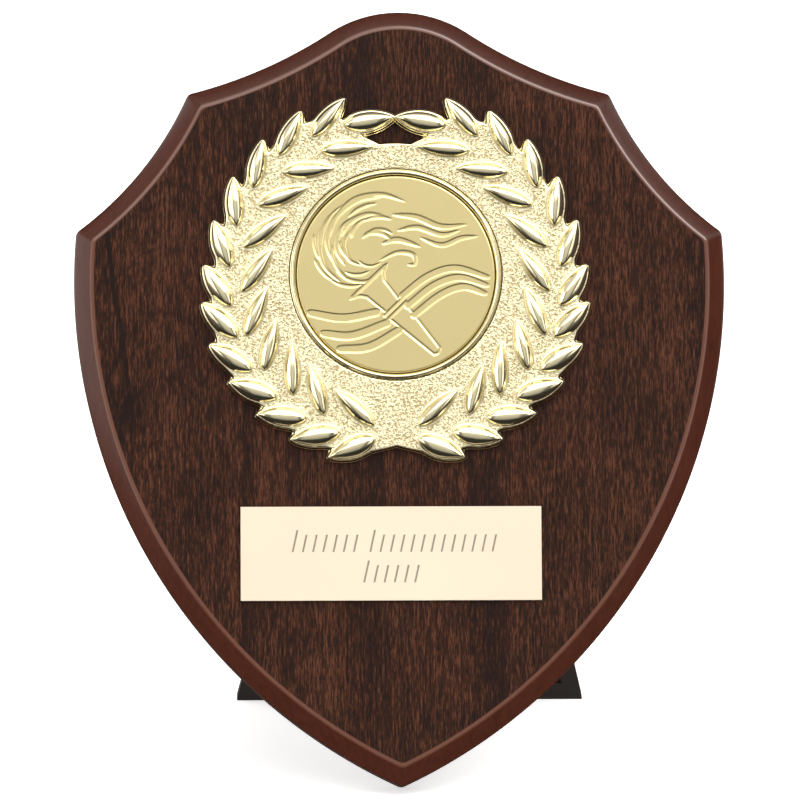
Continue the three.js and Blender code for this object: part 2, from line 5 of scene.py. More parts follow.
import bmesh
import bpy
import numpy as np
from bpy.props import FloatProperty, FloatVectorProperty, IntProperty, PointerProperty
from mathutils import Matrix, Vector


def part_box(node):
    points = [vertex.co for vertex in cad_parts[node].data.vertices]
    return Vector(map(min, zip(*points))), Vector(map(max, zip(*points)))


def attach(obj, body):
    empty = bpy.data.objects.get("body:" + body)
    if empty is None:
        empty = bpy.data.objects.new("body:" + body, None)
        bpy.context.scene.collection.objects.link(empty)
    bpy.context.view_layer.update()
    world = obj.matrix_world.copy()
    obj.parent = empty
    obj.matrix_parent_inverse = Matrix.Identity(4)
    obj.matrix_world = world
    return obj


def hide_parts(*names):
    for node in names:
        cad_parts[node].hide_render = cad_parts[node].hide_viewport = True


bl_info = {
    "name": "Award Shield",
    "version": (1, 0, 0),
    "blender": (4, 5, 0),
    "location": "View3D > Sidebar > Award Shield",
    "description": "Builds the pieces, finishes and studio of a standing award shield",
    "category": "Add Mesh",
}

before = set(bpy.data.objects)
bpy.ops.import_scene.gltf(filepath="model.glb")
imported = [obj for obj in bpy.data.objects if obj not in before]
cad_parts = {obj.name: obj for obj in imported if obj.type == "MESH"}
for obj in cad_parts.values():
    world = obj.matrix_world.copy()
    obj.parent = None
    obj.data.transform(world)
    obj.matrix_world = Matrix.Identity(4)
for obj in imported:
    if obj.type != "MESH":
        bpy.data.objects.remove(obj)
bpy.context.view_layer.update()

MM = 0.001
BODY = "root"

# The board's outline is made of arcs; x runs across the face, y up it and z out of it
LEAN = math.radians(18)
CROWN_RADIUS = 32.3 * MM
NECK_RADIUS = 118.6 * MM
EAR = (54.4 * MM, 178.6 * MM)
SCOOP_RADIUS = 88.6 * MM
SHOULDER = (83.2 * MM, 142.6 * MM)
SIDE_RADIUS = 142.8 * MM
CORNER_REACH = 1.1 * MM
BACK_ARRIS = 0.5 * MM

# A narrow flat band inside the arrises keeps the shading of the face and of the back even
FLAT_BAND = 0.4 * MM

# The tape under the trim, and the room round and under the disc
BOND_GAP = 0.3 * MM
SEAT_GAP = 0.3 * MM

# How far the disc's face falls at its rim, and over what width
DISC_FALL, DISC_RIM = 0.25 * MM, 0.4 * MM

# Where the wreath sits on the board
TRIM_CENTRE = (-1.2 * MM, 130.9 * MM)
TRIM_FLOOR = 0.8 * MM

# How the leaves spread, lie and turn along a branch of the wreath, from its foot to its top
OUTER_SPREAD = ((0, 14.2), (0.455, 75.3), (0.545, 86.2), (0.636, 99.9), (0.909, 143.5), (1, 157))
OUTER_RING = ((0, 0.99), (0.36, 1.021), (0.55, 0.983), (0.64, 0.972), (0.91, 0.975), (1, 0.946))
OUTER_TURN = ((0, 54), (0.3, 58), (1, 63))
OUTER_BROAD = ((0, 1), (0.55, 0.95), (0.75, 0.84), (1, 0.8))
INNER_SPREAD = (
    (0, 17.3), (0.111, 34.3), (0.333, 60.5), (0.444, 74.8), (0.778, 125.1), (0.889, 140.4), (1, 159.2),
)
INNER_RING = ((0, 0.775), (0.222, 0.776), (0.333, 0.797), (0.444, 0.796), (0.556, 0.763), (1, 0.746))
INNER_TURN = ((0, 115.1), (0.111, 129.5), (0.333, 133.5), (0.556, 124), (0.889, 125.2), (1, 106))
TOP_LEAF = (170.4, 0.864, 89.8)
GROUND_RING = (
    (0, 0.95), (7, 0.985), (21, 1.03), (47, 1.035), (60, 1.065), (71, 1.047), (83, 1.017),
    (95, 0.987), (121, 0.972), (150, 0.977), (161, 0.915), (167, 0.785), (173, 0.73), (180, 0.73),
)

# Dark bands in the foil: where they lie across the face and half their width, in millimetres
DARK_BANDS = ((-38.6, 1.6), (-9.2, 4.6), (21.8, 4.4))

# Half the floor's side
FLOOR_REACH = 4.0

# The direction of the bright strip: its parts upwards and forwards
STRIP_AIM = (0.407, 0.914)

# Between these depths under the plate's face lies the floor of a stroke
STROKE_FLOOR = (0.12 * MM, 0.35 * MM)

# A leaf is broadest nearer its root: its half width goes as t ** root * (1 - t) ** tip
ROOT_FULLNESS = 0.62
TIP_FULLNESS = 0.85
BROADEST = ROOT_FULLNESS / (ROOT_FULLNESS + TIP_FULLNESS)

# Half the side of the grid that the wreath is cut from, as a share of the wreath's radius
GRID_REACH = 1.16

# Points of the cut edge that lie nearer than this are merged
MERGE = 0.1 * MM

# The edge goes straight down where it lies within this of the bead
STRAIGHT_RIM = 1.5 * MM

# How far the stipple takes to fade in from the wreath's edge, from the bead and from a leaf
FADE_IN = (0.7 * MM, 1.2 * MM, 0.8 * MM)

# The rim of the wreath, from its top to the board: how far out of its outline, and how high
RIM = (
    (-0.35, 1.90), (-0.20, 1.85), (-0.08, 1.74), (-0.02, 1.58), (0.06, 1.20), (0.16, 0.62),
    (0.26, 0.50), (0.35, 0.42), (0.38, 0.30), (0.38, 0.0),
)


# Settings


def in_mm(name, description, size):
    """A size that a user may change, given in millimetres."""
    return FloatProperty(name=name, description=description, default=size * MM, unit="LENGTH")


def in_degrees(name, description, degrees):
    """An angle that a user may change, given in degrees."""
    return FloatProperty(name=name, description=description, default=math.radians(degrees), unit="ROTATION")


def tint(name, description, *colour):
    """A colour that a user may change."""
    return FloatVectorProperty(
        name=name, description=description, subtype="COLOR", default=colour, min=0, max=1
    )


def brightness(name, description, value):
    """A brightness that a user may change."""
    return FloatProperty(name=name, description=f"Brightness of {description}", default=value)


class BoardSettings(bpy.types.PropertyGroup):
    """Sizes and colours of the board"""

    height: in_mm("Height", "Height along the face", 200)
    thickness: in_mm("Thickness", "Thickness of the board", 15)
    bevel_width: in_mm("Bevel width", "Width of the front chamfer", 4.6)
    bevel_depth: in_mm("Bevel depth", "Depth of the front chamfer", 4.2)
    bevel_fullness: FloatProperty(
        name="Bevel fullness", description="1 is a flat chamfer and 2 a round one", default=1.12, min=1, max=2
    )
    arris: in_mm("Arris", "How far the rounding runs from the arris beside the face", 0.75)
    outer_arris: in_mm("Outer arris", "The same for the arris at the board's outside", 0.4)
    foil_dark: tint("Dark grain", "Colour of the foil's darkest bands", 0.0085, 0.0036, 0.0026)
    foil_mid: tint("Middle grain", "Colour of most of the foil", 0.0235, 0.0075, 0.0033)
    foil_light: tint("Light grain", "Colour of the foil's reddest bands", 0.071, 0.0245, 0.0120)
    lacquer: tint("Edge lacquer", "Colour of the moulded edge", 0.054, 0.0125, 0.0056)


class WreathSettings(bpy.types.PropertyGroup):
    """Sizes and colour of the laurel wreath"""

    radius: in_mm("Radius", "Radius the leaves lie on", 46.5)
    ground: in_mm("Ground", "Thickness of the stippled ground", 1.9)
    bead_width: in_mm("Bead width", "Width of the ring round the disc", 1.35)
    bead_rise: in_mm("Bead rise", "Height of that ring over the ground", 0.6)
    outer_length: in_mm("Outer leaf", "Length of an outer leaf", 12.8)
    inner_length: in_mm("Inner leaf", "Length of an inner leaf", 13.7)
    top_length: in_mm("Top leaf", "Length of the leaves that meet at the top", 13.3)
    outer_width: in_mm("Outer width", "Width of the broadest outer leaf", 5.5)
    inner_width: in_mm("Inner width", "Width of an inner leaf", 4.5)
    top_width: in_mm("Top width", "Width of the two top leaves", 5.3)
    leaf_rise: in_mm("Leaf rise", "Height of a leaf over the ground", 1.9)
    flange: in_mm("Flange", "How far the step under an outer leaf stands out", 0.45)
    web: in_mm("Web", "Softness of the notches between the leaves", 1.1)
    fillet_reach: in_mm("Fillet reach", "How far the ground sweeps up to a leaf", 0.85)
    fillet_rise: in_mm("Fillet rise", "How high it sweeps", 0.24)
    cell: in_mm("Cell", "Mesh size of the ground", 0.46)
    outer_count: IntProperty(
        name="Outer leaves", description="Outer leaves on each branch", default=12, min=2
    )
    inner_count: IntProperty(
        name="Inner leaves", description="Inner leaves on each branch", default=10, min=2
    )
    plating: tint("Plating", "Colour of the pale gold plating", 0.91, 0.82, 0.54)


class DiscSettings(bpy.types.PropertyGroup):
    """Sizes and colours of the embossed disc"""

    radius: in_mm("Radius", "Radius of the disc", 25.4)
    thickness: in_mm("Thickness", "Thickness of the disc", 1.0)
    relief: in_mm("Relief", "Depth of the sunk lines", 0.22)
    edge: in_mm("Relief edge", "Width of a sunk line's slope", 0.22)
    cells: IntProperty(name="Cells", description="Mesh cells across the disc", default=296, min=20, max=300)
    gold: tint("Gold", "Colour of the satin gold", 0.71, 0.60, 0.295)


class FittingSettings(bpy.types.PropertyGroup):
    """Colours and sizes of the plate, the strut, the bracket and the screws"""

    plate: tint("Plate", "Colour of the engraving plate", 0.60, 0.525, 0.415)
    stroke: tint("Strokes", "Colour in the engraved strokes", 0.30, 0.255, 0.205)
    plastic: tint("Plastic", "Colour of the strut and its bracket", 0.017, 0.0125, 0.0105)
    zinc: tint("Zinc", "Colour of the screws", 0.56, 0.56, 0.54)
    plate_edge: in_mm("Plate edge", "Rounding of the plate's edges", 0.1)
    plastic_edge: in_mm("Plastic edge", "Rounding of the moulded edges", 0.3)
    screw_head: in_mm("Screw head", "Radius of a screw's head", 3.2)
    screw_rise: in_mm("Screw rise", "Height of a screw's head", 1.75)
    screw_shank: in_mm("Screw shank", "Radius of a screw's shank", 1.5)
    screw_length: in_mm("Screw length", "Length of a screw under its head", 14)
    screw_seat: in_mm("Screw seat", "From the board's back to under a screw's head", 3)


class StudioSettings(bpy.types.PropertyGroup):
    """Camera and light"""

    azimuth: in_degrees("Azimuth", "Camera's turn to the shield's left", 1.86)
    elevation: in_degrees("Elevation", "Camera's height as an angle", 12)
    roll: in_degrees("Roll", "Camera's roll", 0.26)
    distance: in_mm("Distance", "From camera to shield", 1400)
    lens: FloatProperty(name="Lens", description="Focal length in millimetres", default=245.3)
    key: FloatProperty(name="Key", description="Power of the overhead soft light", default=1.6, unit="POWER")
    over: brightness("Over", "the soft light over the front", 2.3)
    strip: brightness("Strip", "the narrow bright strip over the front", 7.5)
    beside: brightness("Beside", "the soft lights at the sides", 2.1)
    wall: brightness("Wall", "the wall in front", 0.72)
    dark: brightness("Dark", "the lower part of the room", 0.035)


GROUPS = {
    "shield_board_settings": BoardSettings,
    "shield_wreath_settings": WreathSettings,
    "shield_disc_settings": DiscSettings,
    "shield_fitting_settings": FittingSettings,
    "shield_studio_settings": StudioSettings,
}


# Places: from the shield's own frame to the model's


def shield_matrix(board):
    """The shield's frame in the model's: found from the packed board's highest and rearmost points."""
    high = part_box("shield_board")[1]
    back = (board.height - BACK_ARRIS) * math.sin(LEAN)
    top = board.height * math.cos(LEAN) + (board.thickness - board.bevel_depth) * math.sin(LEAN)
    place = Matrix.Translation((0, high.y - back, high.z - top))
    return place @ Matrix.Rotation(math.pi / 2 - LEAN, 4, "X")


def along(stations, place):
    """A value that changes along a branch, in straight lines between its stations."""
    return float(np.interp(place, [s[0] for s in stations], [s[1] for s in stations]))


def polar(angle, radius):
    """A place on the wreath: angle from straight down, in degrees."""
    a = math.radians(angle)
    return Vector((math.sin(a) * radius, -math.cos(a) * radius))


# Mesh makers


def new_piece(name, mesh, materials):
    """A linked object for a finished mesh, with its materials in order."""
    piece = bpy.data.objects.new(name, mesh)
    bpy.context.scene.collection.objects.link(piece)
    for material in materials:
        mesh.materials.append(material)
    return piece


def lofted(loops, spans=None):
    """A closed mesh through loops of as many points each; spans gives the material of each band."""
    count = len(loops[0])
    points = np.concatenate(loops)
    faces, marks = [], []
    for level in range(len(loops) - 1):
        for i in range(count):
            a, b = level * count + i, level * count + (i + 1) % count
            faces.append((a, b, b + count, a + count))
            marks.append(spans[level] if spans else 0)
    last = (len(loops) - 1) * count
    faces.append(tuple(reversed(range(count))))
    faces.append(tuple(range(last, last + count)))
    marks += [spans[0] if spans else 0, spans[-1] if spans else 0]
    mesh = bpy.data.meshes.new("lofted")
    mesh.from_pydata(points.tolist(), [], faces)
    mesh.polygons.foreach_set("material_index", marks)
    mesh.polygons.foreach_set("use_smooth", [True] * len(faces))
    return mesh


def at_height(points, z):
    """Points of a flat outline, lifted to a height."""
    points = np.asarray(points, float)
    return np.column_stack([points, np.full(len(points), z)])


def meet_circles(c1, r1, c2, r2, side):
    """Where two circles cross, on one side of the line between their centres."""
    line = c2 - c1
    distance = line.length
    line = line.normalized()
    reach = (r1 * r1 - r2 * r2 + distance * distance) / (2 * distance)
    rise = math.sqrt(max(r1 * r1 - reach * reach, 0))
    return c1 + line * reach + Vector((-line.y, line.x)) * (side * rise)


def arc(centre, radius, start, end, steps):
    """Points along an arc, its ends included."""
    a0 = math.atan2(start.y - centre.y, start.x - centre.x)
    a1 = math.atan2(end.y - centre.y, end.x - centre.x)
    angles = np.linspace(a0, a1, steps + 1)
    return [Vector((centre.x + radius * math.cos(a), centre.y + radius * math.sin(a))) for a in angles]


def back_along(centre, radius, end, towards, reach):
    """The point that lies a given way back along an arc from its end."""
    spoke, other = end - centre, towards - centre
    turn = math.copysign(reach / radius, spoke.x * other.y - spoke.y * other.x)
    return centre + Matrix.Rotation(turn, 2) @ spoke


def soft_corner(before, corner, after, steps):
    """The points between two ends of a rounded corner."""
    ts = [i / steps for i in range(1, steps)]
    return [before * (1 - t) ** 2 + corner * (2 * t * (1 - t)) + after * t * t for t in ts]


def shield_outline(height, inset):
    """The shield's outline, moved inwards: arcs from the crown to the tip, mirrored."""
    ear, shoulder, foot = Vector(EAR), Vector(SHOULDER), Vector((0, 0))
    crown_centre = Vector((0, height - CROWN_RADIUS))
    neck_centre = meet_circles(crown_centre, CROWN_RADIUS + NECK_RADIUS, ear, NECK_RADIUS, 1)
    scoop_centre = meet_circles(ear, SCOOP_RADIUS, shoulder, SCOOP_RADIUS, 1)
    side_centre = meet_circles(shoulder, SIDE_RADIUS, foot, SIDE_RADIUS, -1)
    crown, neck = CROWN_RADIUS - inset, NECK_RADIUS + inset
    scoop, side = SCOOP_RADIUS + inset, SIDE_RADIUS - inset
    top = Vector((0, crown_centre.y + crown))
    blend = crown_centre.lerp(neck_centre, crown / (crown + neck))
    ear_point = meet_circles(neck_centre, neck, scoop_centre, scoop, -1)
    shoulder_point = meet_circles(scoop_centre, scoop, side_centre, side, 1)
    tip = Vector((0, side_centre.y - math.sqrt(side * side - side_centre.x**2)))
    neck_end = back_along(neck_centre, neck, ear_point, blend, CORNER_REACH)
    scoop_start = back_along(scoop_centre, scoop, ear_point, shoulder_point, CORNER_REACH)
    scoop_end = back_along(scoop_centre, scoop, shoulder_point, ear_point, CORNER_REACH)
    side_start = back_along(side_centre, side, shoulder_point, tip, CORNER_REACH)
    side_end = back_along(side_centre, side, tip, shoulder_point, CORNER_REACH)
    half = arc(crown_centre, crown, top, blend, 24)
    half += arc(neck_centre, neck, blend, neck_end, 24)[1:]
    half += soft_corner(neck_end, ear_point, scoop_start, 8)
    half += arc(scoop_centre, scoop, scoop_start, scoop_end, 32)
    half += soft_corner(scoop_end, shoulder_point, side_start, 8)
    half += arc(side_centre, side, side_start, side_end, 110)
    tip_corner = soft_corner(side_end, tip, Vector((-side_end.x, side_end.y)), 8)
    half += tip_corner[:3]
    middle = tip_corner[3]
    mirrored = [Vector((-p.x, p.y)) for p in half[1:]]
    return np.array([p[:] for p in mirrored + [middle] + half[::-1]])


def chamfer_line(board):
    """Points up the moulded edge, inset against height, short of the arrises at its two ends."""
    line = []
    for turn in np.linspace(0, math.pi / 2, 25):
        out = max(math.cos(turn), 0) ** (2 / board.bevel_fullness)
        up = math.sin(turn) ** (2 / board.bevel_fullness)
        inset = board.bevel_width * (1 - out)
        if board.outer_arris * 0.8 < inset < board.bevel_width - board.arris * 0.75:
            line.append(Vector((inset, board.thickness - board.bevel_depth * (1 - up))))
    return line


def board_mesh(board):
    """The board, from its back to its face, with how far into the rounding of the inner arris it is."""
    chamfer = chamfer_line(board)
    low = Vector((0, board.thickness - board.bevel_depth))
    start = low - Vector((0, board.outer_arris))
    run = chamfer[-1] - chamfer[-2]
    corner = chamfer[-1] + run * ((board.thickness - chamfer[-1].y) / run.y)
    end = corner + Vector((board.arris, 0))
    sides = [Vector(p) for p in ((BACK_ARRIS + FLAT_BAND, 0), (BACK_ARRIS, 0), (0, BACK_ARRIS))]
    sides += [start, *soft_corner(start, low, chamfer[0], 5), *chamfer]
    rounding = [*soft_corner(chamfer[-1], corner, end, 9), end]
    levels = [*sides, *rounding, end + Vector((FLAT_BAND, 0))]
    loops = [at_height(shield_outline(board.height, level.x), level.y) for level in levels]
    mesh = lofted(loops, [1] * (len(loops) - 2) + [0])
    mesh.polygons[-2].material_index = 1
    # The arris mark gives the lacquer its glassy coat and a painted highlight in its colour
    turns = np.linspace(0.3, math.pi - 0.2, len(rounding) + 1)
    gloss_and_painted_highlight = np.concatenate([np.zeros(len(sides)), np.sin(turns)])
    layer = mesh.attributes.new("arris", "FLOAT", "POINT")
    layer.data.foreach_set("value", np.repeat(gloss_and_painted_highlight, len(loops[0])))
    return mesh


def wreath_place(angle, ring, turn, side, radius):
    """A leaf's middle and its heading, for one side of the wreath."""
    middle = polar(side * angle, ring * radius)
    return middle, math.radians(side * (angle + turn) - 90)


def leaf_places(sizes):
    """Every leaf of both branches: its middle, heading, length, width and whether it is an outer one."""
    rows = (
        (sizes.outer_count, OUTER_SPREAD, OUTER_RING, OUTER_TURN, OUTER_BROAD, True),
        (sizes.inner_count, INNER_SPREAD, INNER_RING, INNER_TURN, None, False),
    )
    places = []
    for side in (-1, 1):
        for count, spread, rings, turns, broad, outer in rows:
            for i in range(count):
                t = i / (count - 1)
                place = (along(spread, t), along(rings, t), along(turns, t))
                length = sizes.outer_length if outer else sizes.inner_length
                width = sizes.outer_width * along(broad, t) if outer else sizes.inner_width
                places.append((*wreath_place(*place, side, sizes.radius), length, width, outer))
        top = wreath_place(*TOP_LEAF, side, sizes.radius)
        places.append((*top, sizes.top_length, sizes.top_width, True))
    return places


def points_mesh(places, height):
    """One loose point for each leaf, with its heading, length and width."""
    mesh = bpy.data.meshes.new("places")
    mesh.from_pydata([(p[0].x, p[0].y, height) for p in places], [], [])
    for name, column in (("heading", 1), ("long", 2), ("broad", 3)):
        layer = mesh.attributes.new(name, "FLOAT", "POINT")
        layer.data.foreach_set("value", [p[column] for p in places])
    return mesh


def leaf_edge(place, steps=24):
    """Points round one leaf, where it lies on the wreath."""
    middle, heading, length, width, _ = place
    t = np.linspace(0, 1, steps + 1)
    peak = BROADEST**ROOT_FULLNESS * (1 - BROADEST) ** TIP_FULLNESS
    half = t**ROOT_FULLNESS * (1 - t) ** TIP_FULLNESS / peak * width / 2
    x = (t - 0.5) * length
    edge = np.column_stack([np.append(x, x[-2:0:-1]), np.append(half, -half[-2:0:-1])])
    c, s = math.cos(heading), math.sin(heading)
    return edge @ np.array([[c, s], [-s, c]]) + np.array(middle)


def distance_to(edge, places):
    """Signed distance from places to a closed outline, less than nothing inside it."""
    best = np.full(len(places), np.inf)
    inside = np.zeros(len(places), bool)
    for a, b in zip(edge, np.roll(edge, -1, 0)):
        run, gap = b - a, places - a
        t = np.clip(gap @ run / (run @ run), 0, 1)
        best = np.minimum(best, np.hypot(*(gap - t[:, None] * run).T))
        crosses = (a[1] > places[:, 1]) != (b[1] > places[:, 1])
        inside ^= crosses & (gap[:, 0] * run[1] * np.sign(run[1]) < gap[:, 1] * run[0] * np.sign(run[1]))
    return np.where(inside, -best, best)


def leaf_distance(leaves, places, far=4 * MM):
    """Signed distance from places to the nearest leaf, at most far."""
    best = np.full(len(places), far)
    for leaf in leaves:
        gap = np.hypot(*(places - np.array(leaf[0])).T)
        near = np.flatnonzero(gap < leaf[2] / 2 + far)
        if len(near):
            best[near] = np.minimum(best[near], distance_to(leaf_edge(leaf), places[near]))
    return best


def wreath_field(sizes, leaves, places):
    """Signed distance to the wreath's outline: its ground and a flange round the outer leaves, blended."""
    angles = np.degrees(np.arctan2(np.abs(places[:, 0]), -places[:, 1]))
    rings = np.interp(angles, [s[0] for s in GROUND_RING], [s[1] for s in GROUND_RING])
    ground = np.hypot(*places.T) - rings * sizes.radius
    flange = leaf_distance([leaf for leaf in leaves if leaf[4]], places) - sizes.flange
    blend = np.maximum(sizes.web - np.abs(ground - flange), 0) / sizes.web
    return np.minimum(ground, flange) - blend**2 * sizes.web / 4


def cut_grid(sizes, leaves, rim):
    """A fine flat grid, cut where the wreath's outline and the ring round the disc fall."""
    reach = GRID_REACH * sizes.radius
    count = round(2 * reach / sizes.cell)
    work = bmesh.new()
    bmesh.ops.create_grid(work, x_segments=count, y_segments=count, size=reach)
    places = np.array([v.co[:2] for v in work.verts])
    field = np.maximum(wreath_field(sizes, leaves, places), rim - np.hypot(*places.T))
    for vertex, value in zip(work.verts, field):
        vertex.co.z = value
    everything = [*work.verts, *work.edges, *work.faces]
    level = (0, 0, RIM[0][0] * MM)
    bmesh.ops.bisect_plane(work, geom=everything, plane_co=level, plane_no=(0, 0, 1), clear_outer=True)
    border = [v for v in work.verts if v.is_boundary]
    bmesh.ops.remove_doubles(work, verts=border, dist=MERGE)
    work.verts.index_update()
    return work


def wreath_rim(sizes, leaves, edge, fixed):
    """Rows of points down the wreath's stepped edge; the fixed ones, round the disc, go straight down."""
    rows, step = [], 0.05 * MM
    ways = np.eye(2) * step
    for out, height in RIM[1:]:
        here = wreath_field(sizes, leaves, edge)
        slope = np.column_stack([wreath_field(sizes, leaves, edge + way) - here for way in ways])
        slope /= np.maximum(np.hypot(*slope.T), 1e-9)[:, None]
        edge = np.where(fixed[:, None], edge, edge + slope * (out * MM - here)[:, None])
        rows.append(at_height(edge, height * MM))
    return rows


def ground_mesh(sizes, leaves, rim):
    """The wreath's ground: a fine flat that sweeps up to the leaves, a stepped edge and a flat back."""
    work = cut_grid(sizes, leaves, rim)
    places = np.array([v.co[:2] for v in work.verts])
    faces = [[v.index for v in face.verts] for face in work.faces]
    border = [v.index for v in work.verts if v.is_boundary]
    loops = [e.link_loops[0] for e in work.edges if e.is_boundary]
    seam = [(loop.vert.index, loop.link_loop_next.vert.index) for loop in loops]
    work.free()
    radii = np.hypot(*places.T)
    nearest = leaf_distance(leaves, places)
    sweep = np.clip(1 - nearest / sizes.fillet_reach, 0, 1) ** 2 * sizes.fillet_rise
    rows = wreath_rim(sizes, leaves, places[border], radii[border] < rim + STRAIGHT_RIM)
    points = np.vstack([np.column_stack([places, sizes.ground + sweep]), *rows, at_height(places, 0)])
    back = len(points) - len(places)
    flat = len(faces)
    faces += [[back + i for i in reversed(face)] for face in faces]
    column = {index: i for i, index in enumerate(border)}
    for a, b in seam:
        tops = (b, a)
        for i in range(len(rows)):
            feet = [len(places) + i * len(border) + column[k] for k in (a, b)]
            faces.append([*tops, *feet])
            tops = feet[::-1]
        faces.append([*tops, back + a, back + b])
    mesh = bpy.data.meshes.new("ground")
    mesh.from_pydata(points.tolist(), [], faces)
    gaps = (-wreath_field(sizes, leaves, places), radii - rim, nearest)
    clear = np.minimum.reduce([gap / fade for gap, fade in zip(gaps, FADE_IN)])
    open_ground = np.concatenate([np.clip(clear, 0, 1), np.zeros(len(points) - len(places))])
    mesh.attributes.new("open_ground", "FLOAT", "POINT").data.foreach_set("value", open_ground)
    mesh.polygons.foreach_set("material_index", [1] * flat + [0] * (len(faces) - flat))
    mesh.polygons.foreach_set("use_smooth", [True] * len(faces))
    return mesh


def bead_mesh(sizes, recess):
    """The ring round the disc, and the recess that the disc lies in."""
    angles = np.radians(np.arange(0, 360, 1.5))
    spokes = np.column_stack([np.sin(angles), -np.cos(angles)])
    rim = recess + sizes.bead_width
    profile = [(rim + 0.12 * MM, TRIM_FLOOR / 2), (rim + 0.12 * MM, sizes.ground)]
    profile.append((rim + 0.04 * MM, sizes.ground + 0.07 * MM))
    for t in np.linspace(0, 1, 17)[1:-1]:
        reach = recess + sizes.bead_width * (1 - t)
        profile.append((reach, sizes.ground + sizes.bead_rise * math.sin(math.pi * t) ** 0.9))
    profile += [(recess, sizes.ground), (recess, TRIM_FLOOR)]
    return lofted([at_height(spokes * r, z) for r, z in profile])


def joined(meshes):
    """One mesh from several."""
    work = bmesh.new()
    for mesh in meshes:
        work.from_mesh(mesh)
    whole = bpy.data.meshes.new("joined")
    work.to_mesh(whole)
    work.free()
    return whole


def rounded_copy(name, width, materials, segments=3):
    """A copy of a packed node with its doubles merged and its sharp edges rounded."""
    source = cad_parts[name]
    work = bmesh.new()
    work.from_mesh(source.data)
    bmesh.ops.remove_doubles(work, verts=work.verts, dist=0.002 * MM)
    bmesh.ops.dissolve_limit(work, angle_limit=math.radians(0.5), verts=work.verts, edges=work.edges)
    mesh = bpy.data.meshes.new(name)
    work.to_mesh(mesh)
    work.free()
    mesh.polygons.foreach_set("use_smooth", [True] * len(mesh.polygons))
    piece = new_piece(f"{name}_finished", mesh, materials)
    bevel = piece.modifiers.new("edges", "BEVEL")
    bevel.width = width
    bevel.segments = segments
    bevel.limit_method = "ANGLE"
    bevel.angle_limit = math.radians(32)
    weighted = piece.modifiers.new("normals", "WEIGHTED_NORMAL")
    weighted.weight = 100
    baked(piece)
    return piece


def baked(piece):
    """Turns a piece's modifiers into its plain mesh."""
    depsgraph = bpy.context.evaluated_depsgraph_get()
    finished = piece.evaluated_get(depsgraph)
    settings = {"preserve_all_data_layers": True, "depsgraph": depsgraph}
    result = bpy.data.meshes.new_from_object(finished, **settings)
    piece.modifiers.clear()
    piece.data = result


def settle(piece, slot, *nodes):
    """Hides the packed nodes that a finished piece stands for and hands the piece to its body; the slot is
    not used.
    """
    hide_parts(*nodes)
    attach(piece, BODY)


# The disc's relief: each line is its points, its width and the share of it left at its two ends


def torch_lines():
    """The torch points down to the right: lip, flared bowl, collar rings and grip."""
    turn = Matrix.Rotation(math.radians(-46), 2)
    top = Vector((-6.9, -1.9))

    def at(down, out):
        return tuple(turn @ Vector((down, out)) + top)

    lines = [
        ([at(0, -5.9), at(0, 0), at(0, 5.9)], 0.95, 0.9, 0.9),
        ([at(9.1, -3.2), at(9.1, 0), at(9.1, 3.2)], 0.75, 1, 1),
        ([at(10.4, -3.2), at(10.4, 0), at(10.4, 3.2)], 0.75, 1, 1),
        ([at(25, -1.1), at(25.5, 0), at(25, 1.1)], 0.6, 1, 1),
    ]
    for side in (-1, 1):
        lines.append(([at(0, side * 6.5), at(0.9, side * 4.4), at(2.5, side * 3.1)], 0.7, 0.5, 1))
        lines.append(([at(2.5, side * 3.1), at(5.4, side * 2.75), at(8.3, side * 2.4)], 0.55, 1, 1))
        lines.append(([at(10.7, side * 2.8), at(17.8, side * 1.95), at(25, side * 1.1)], 0.55, 1, 1))
    return lines


def flame_lines():
    """Tongues that turn about one centre, and streamers that trail to the right."""
    tongues = (
        (232, 96, 10.6, 13.4, 0.9), (196, 92, 9.4, 12.8, 1.1), (160, 86, 10.2, 14.6, 1.2),
        (214, 110, 6.8, 9.6, 1.0), (150, 84, 7.6, 10.2, 1.1), (250, 120, 4.0, 6.8, 0.8),
        (292, 80, 7.2, 9.4, 0.8), (128, 76, 12.6, 16.2, 1.1), (110, 92, 3.6, 7.2, 1.1),
        (318, 88, 4.6, 3.2, 0.6), (178, 60, 11.6, 13.4, 0.7), (236, 66, 8.6, 9.0, 0.7),
        (222, 34, 11.6, 13.6, 0.8), (190, 28, 12.4, 14.2, 0.7), (262, 44, 8.8, 12.0, 0.8),
        (140, 48, 5.2, 8.4, 0.9), (96, 44, 7.8, 10.4, 0.9), (118, 40, 10.0, 12.6, 0.8),
        (276, 52, 5.2, 7.8, 0.7), (204, 46, 4.8, 7.6, 0.8), (84, 50, 5.0, 8.0, 0.8),
    )
    lines = []
    for start, sweep, inner, outer, width in tongues:
        points = []
        for t in (0, 0.35, 0.7, 1):
            a = math.radians(start - sweep * t)
            r = inner + (outer - inner) * t
            points.append((-7.4 + r * math.cos(a), 6 + r * math.sin(a)))
        lines.append((points, width, 0.1, 0.05))
    streamers = (
        ([(-0.6, 15.4), (5.4, 14.7), (11.6, 12.3), (18.2, 12.8)], 1.5),
        ([(0.6, 11.3), (5.6, 12.1), (11.8, 10.2), (16.4, 11.3)], 1.2),
        ([(6.4, 9.4), (11.8, 7.5), (16.8, 9.3), (21, 9.8)], 1.2),
        ([(-3.4, 7.9), (0.6, 8.9), (6.4, 7.1)], 1.3),
        ([(-4, 3.6), (0.4, 5.6), (4.4, 5.1), (4.9, 2.7), (3, 2.4)], 1.0),
    )
    lines += [(points, width, 0.2, 0.1) for points, width in streamers]
    return lines


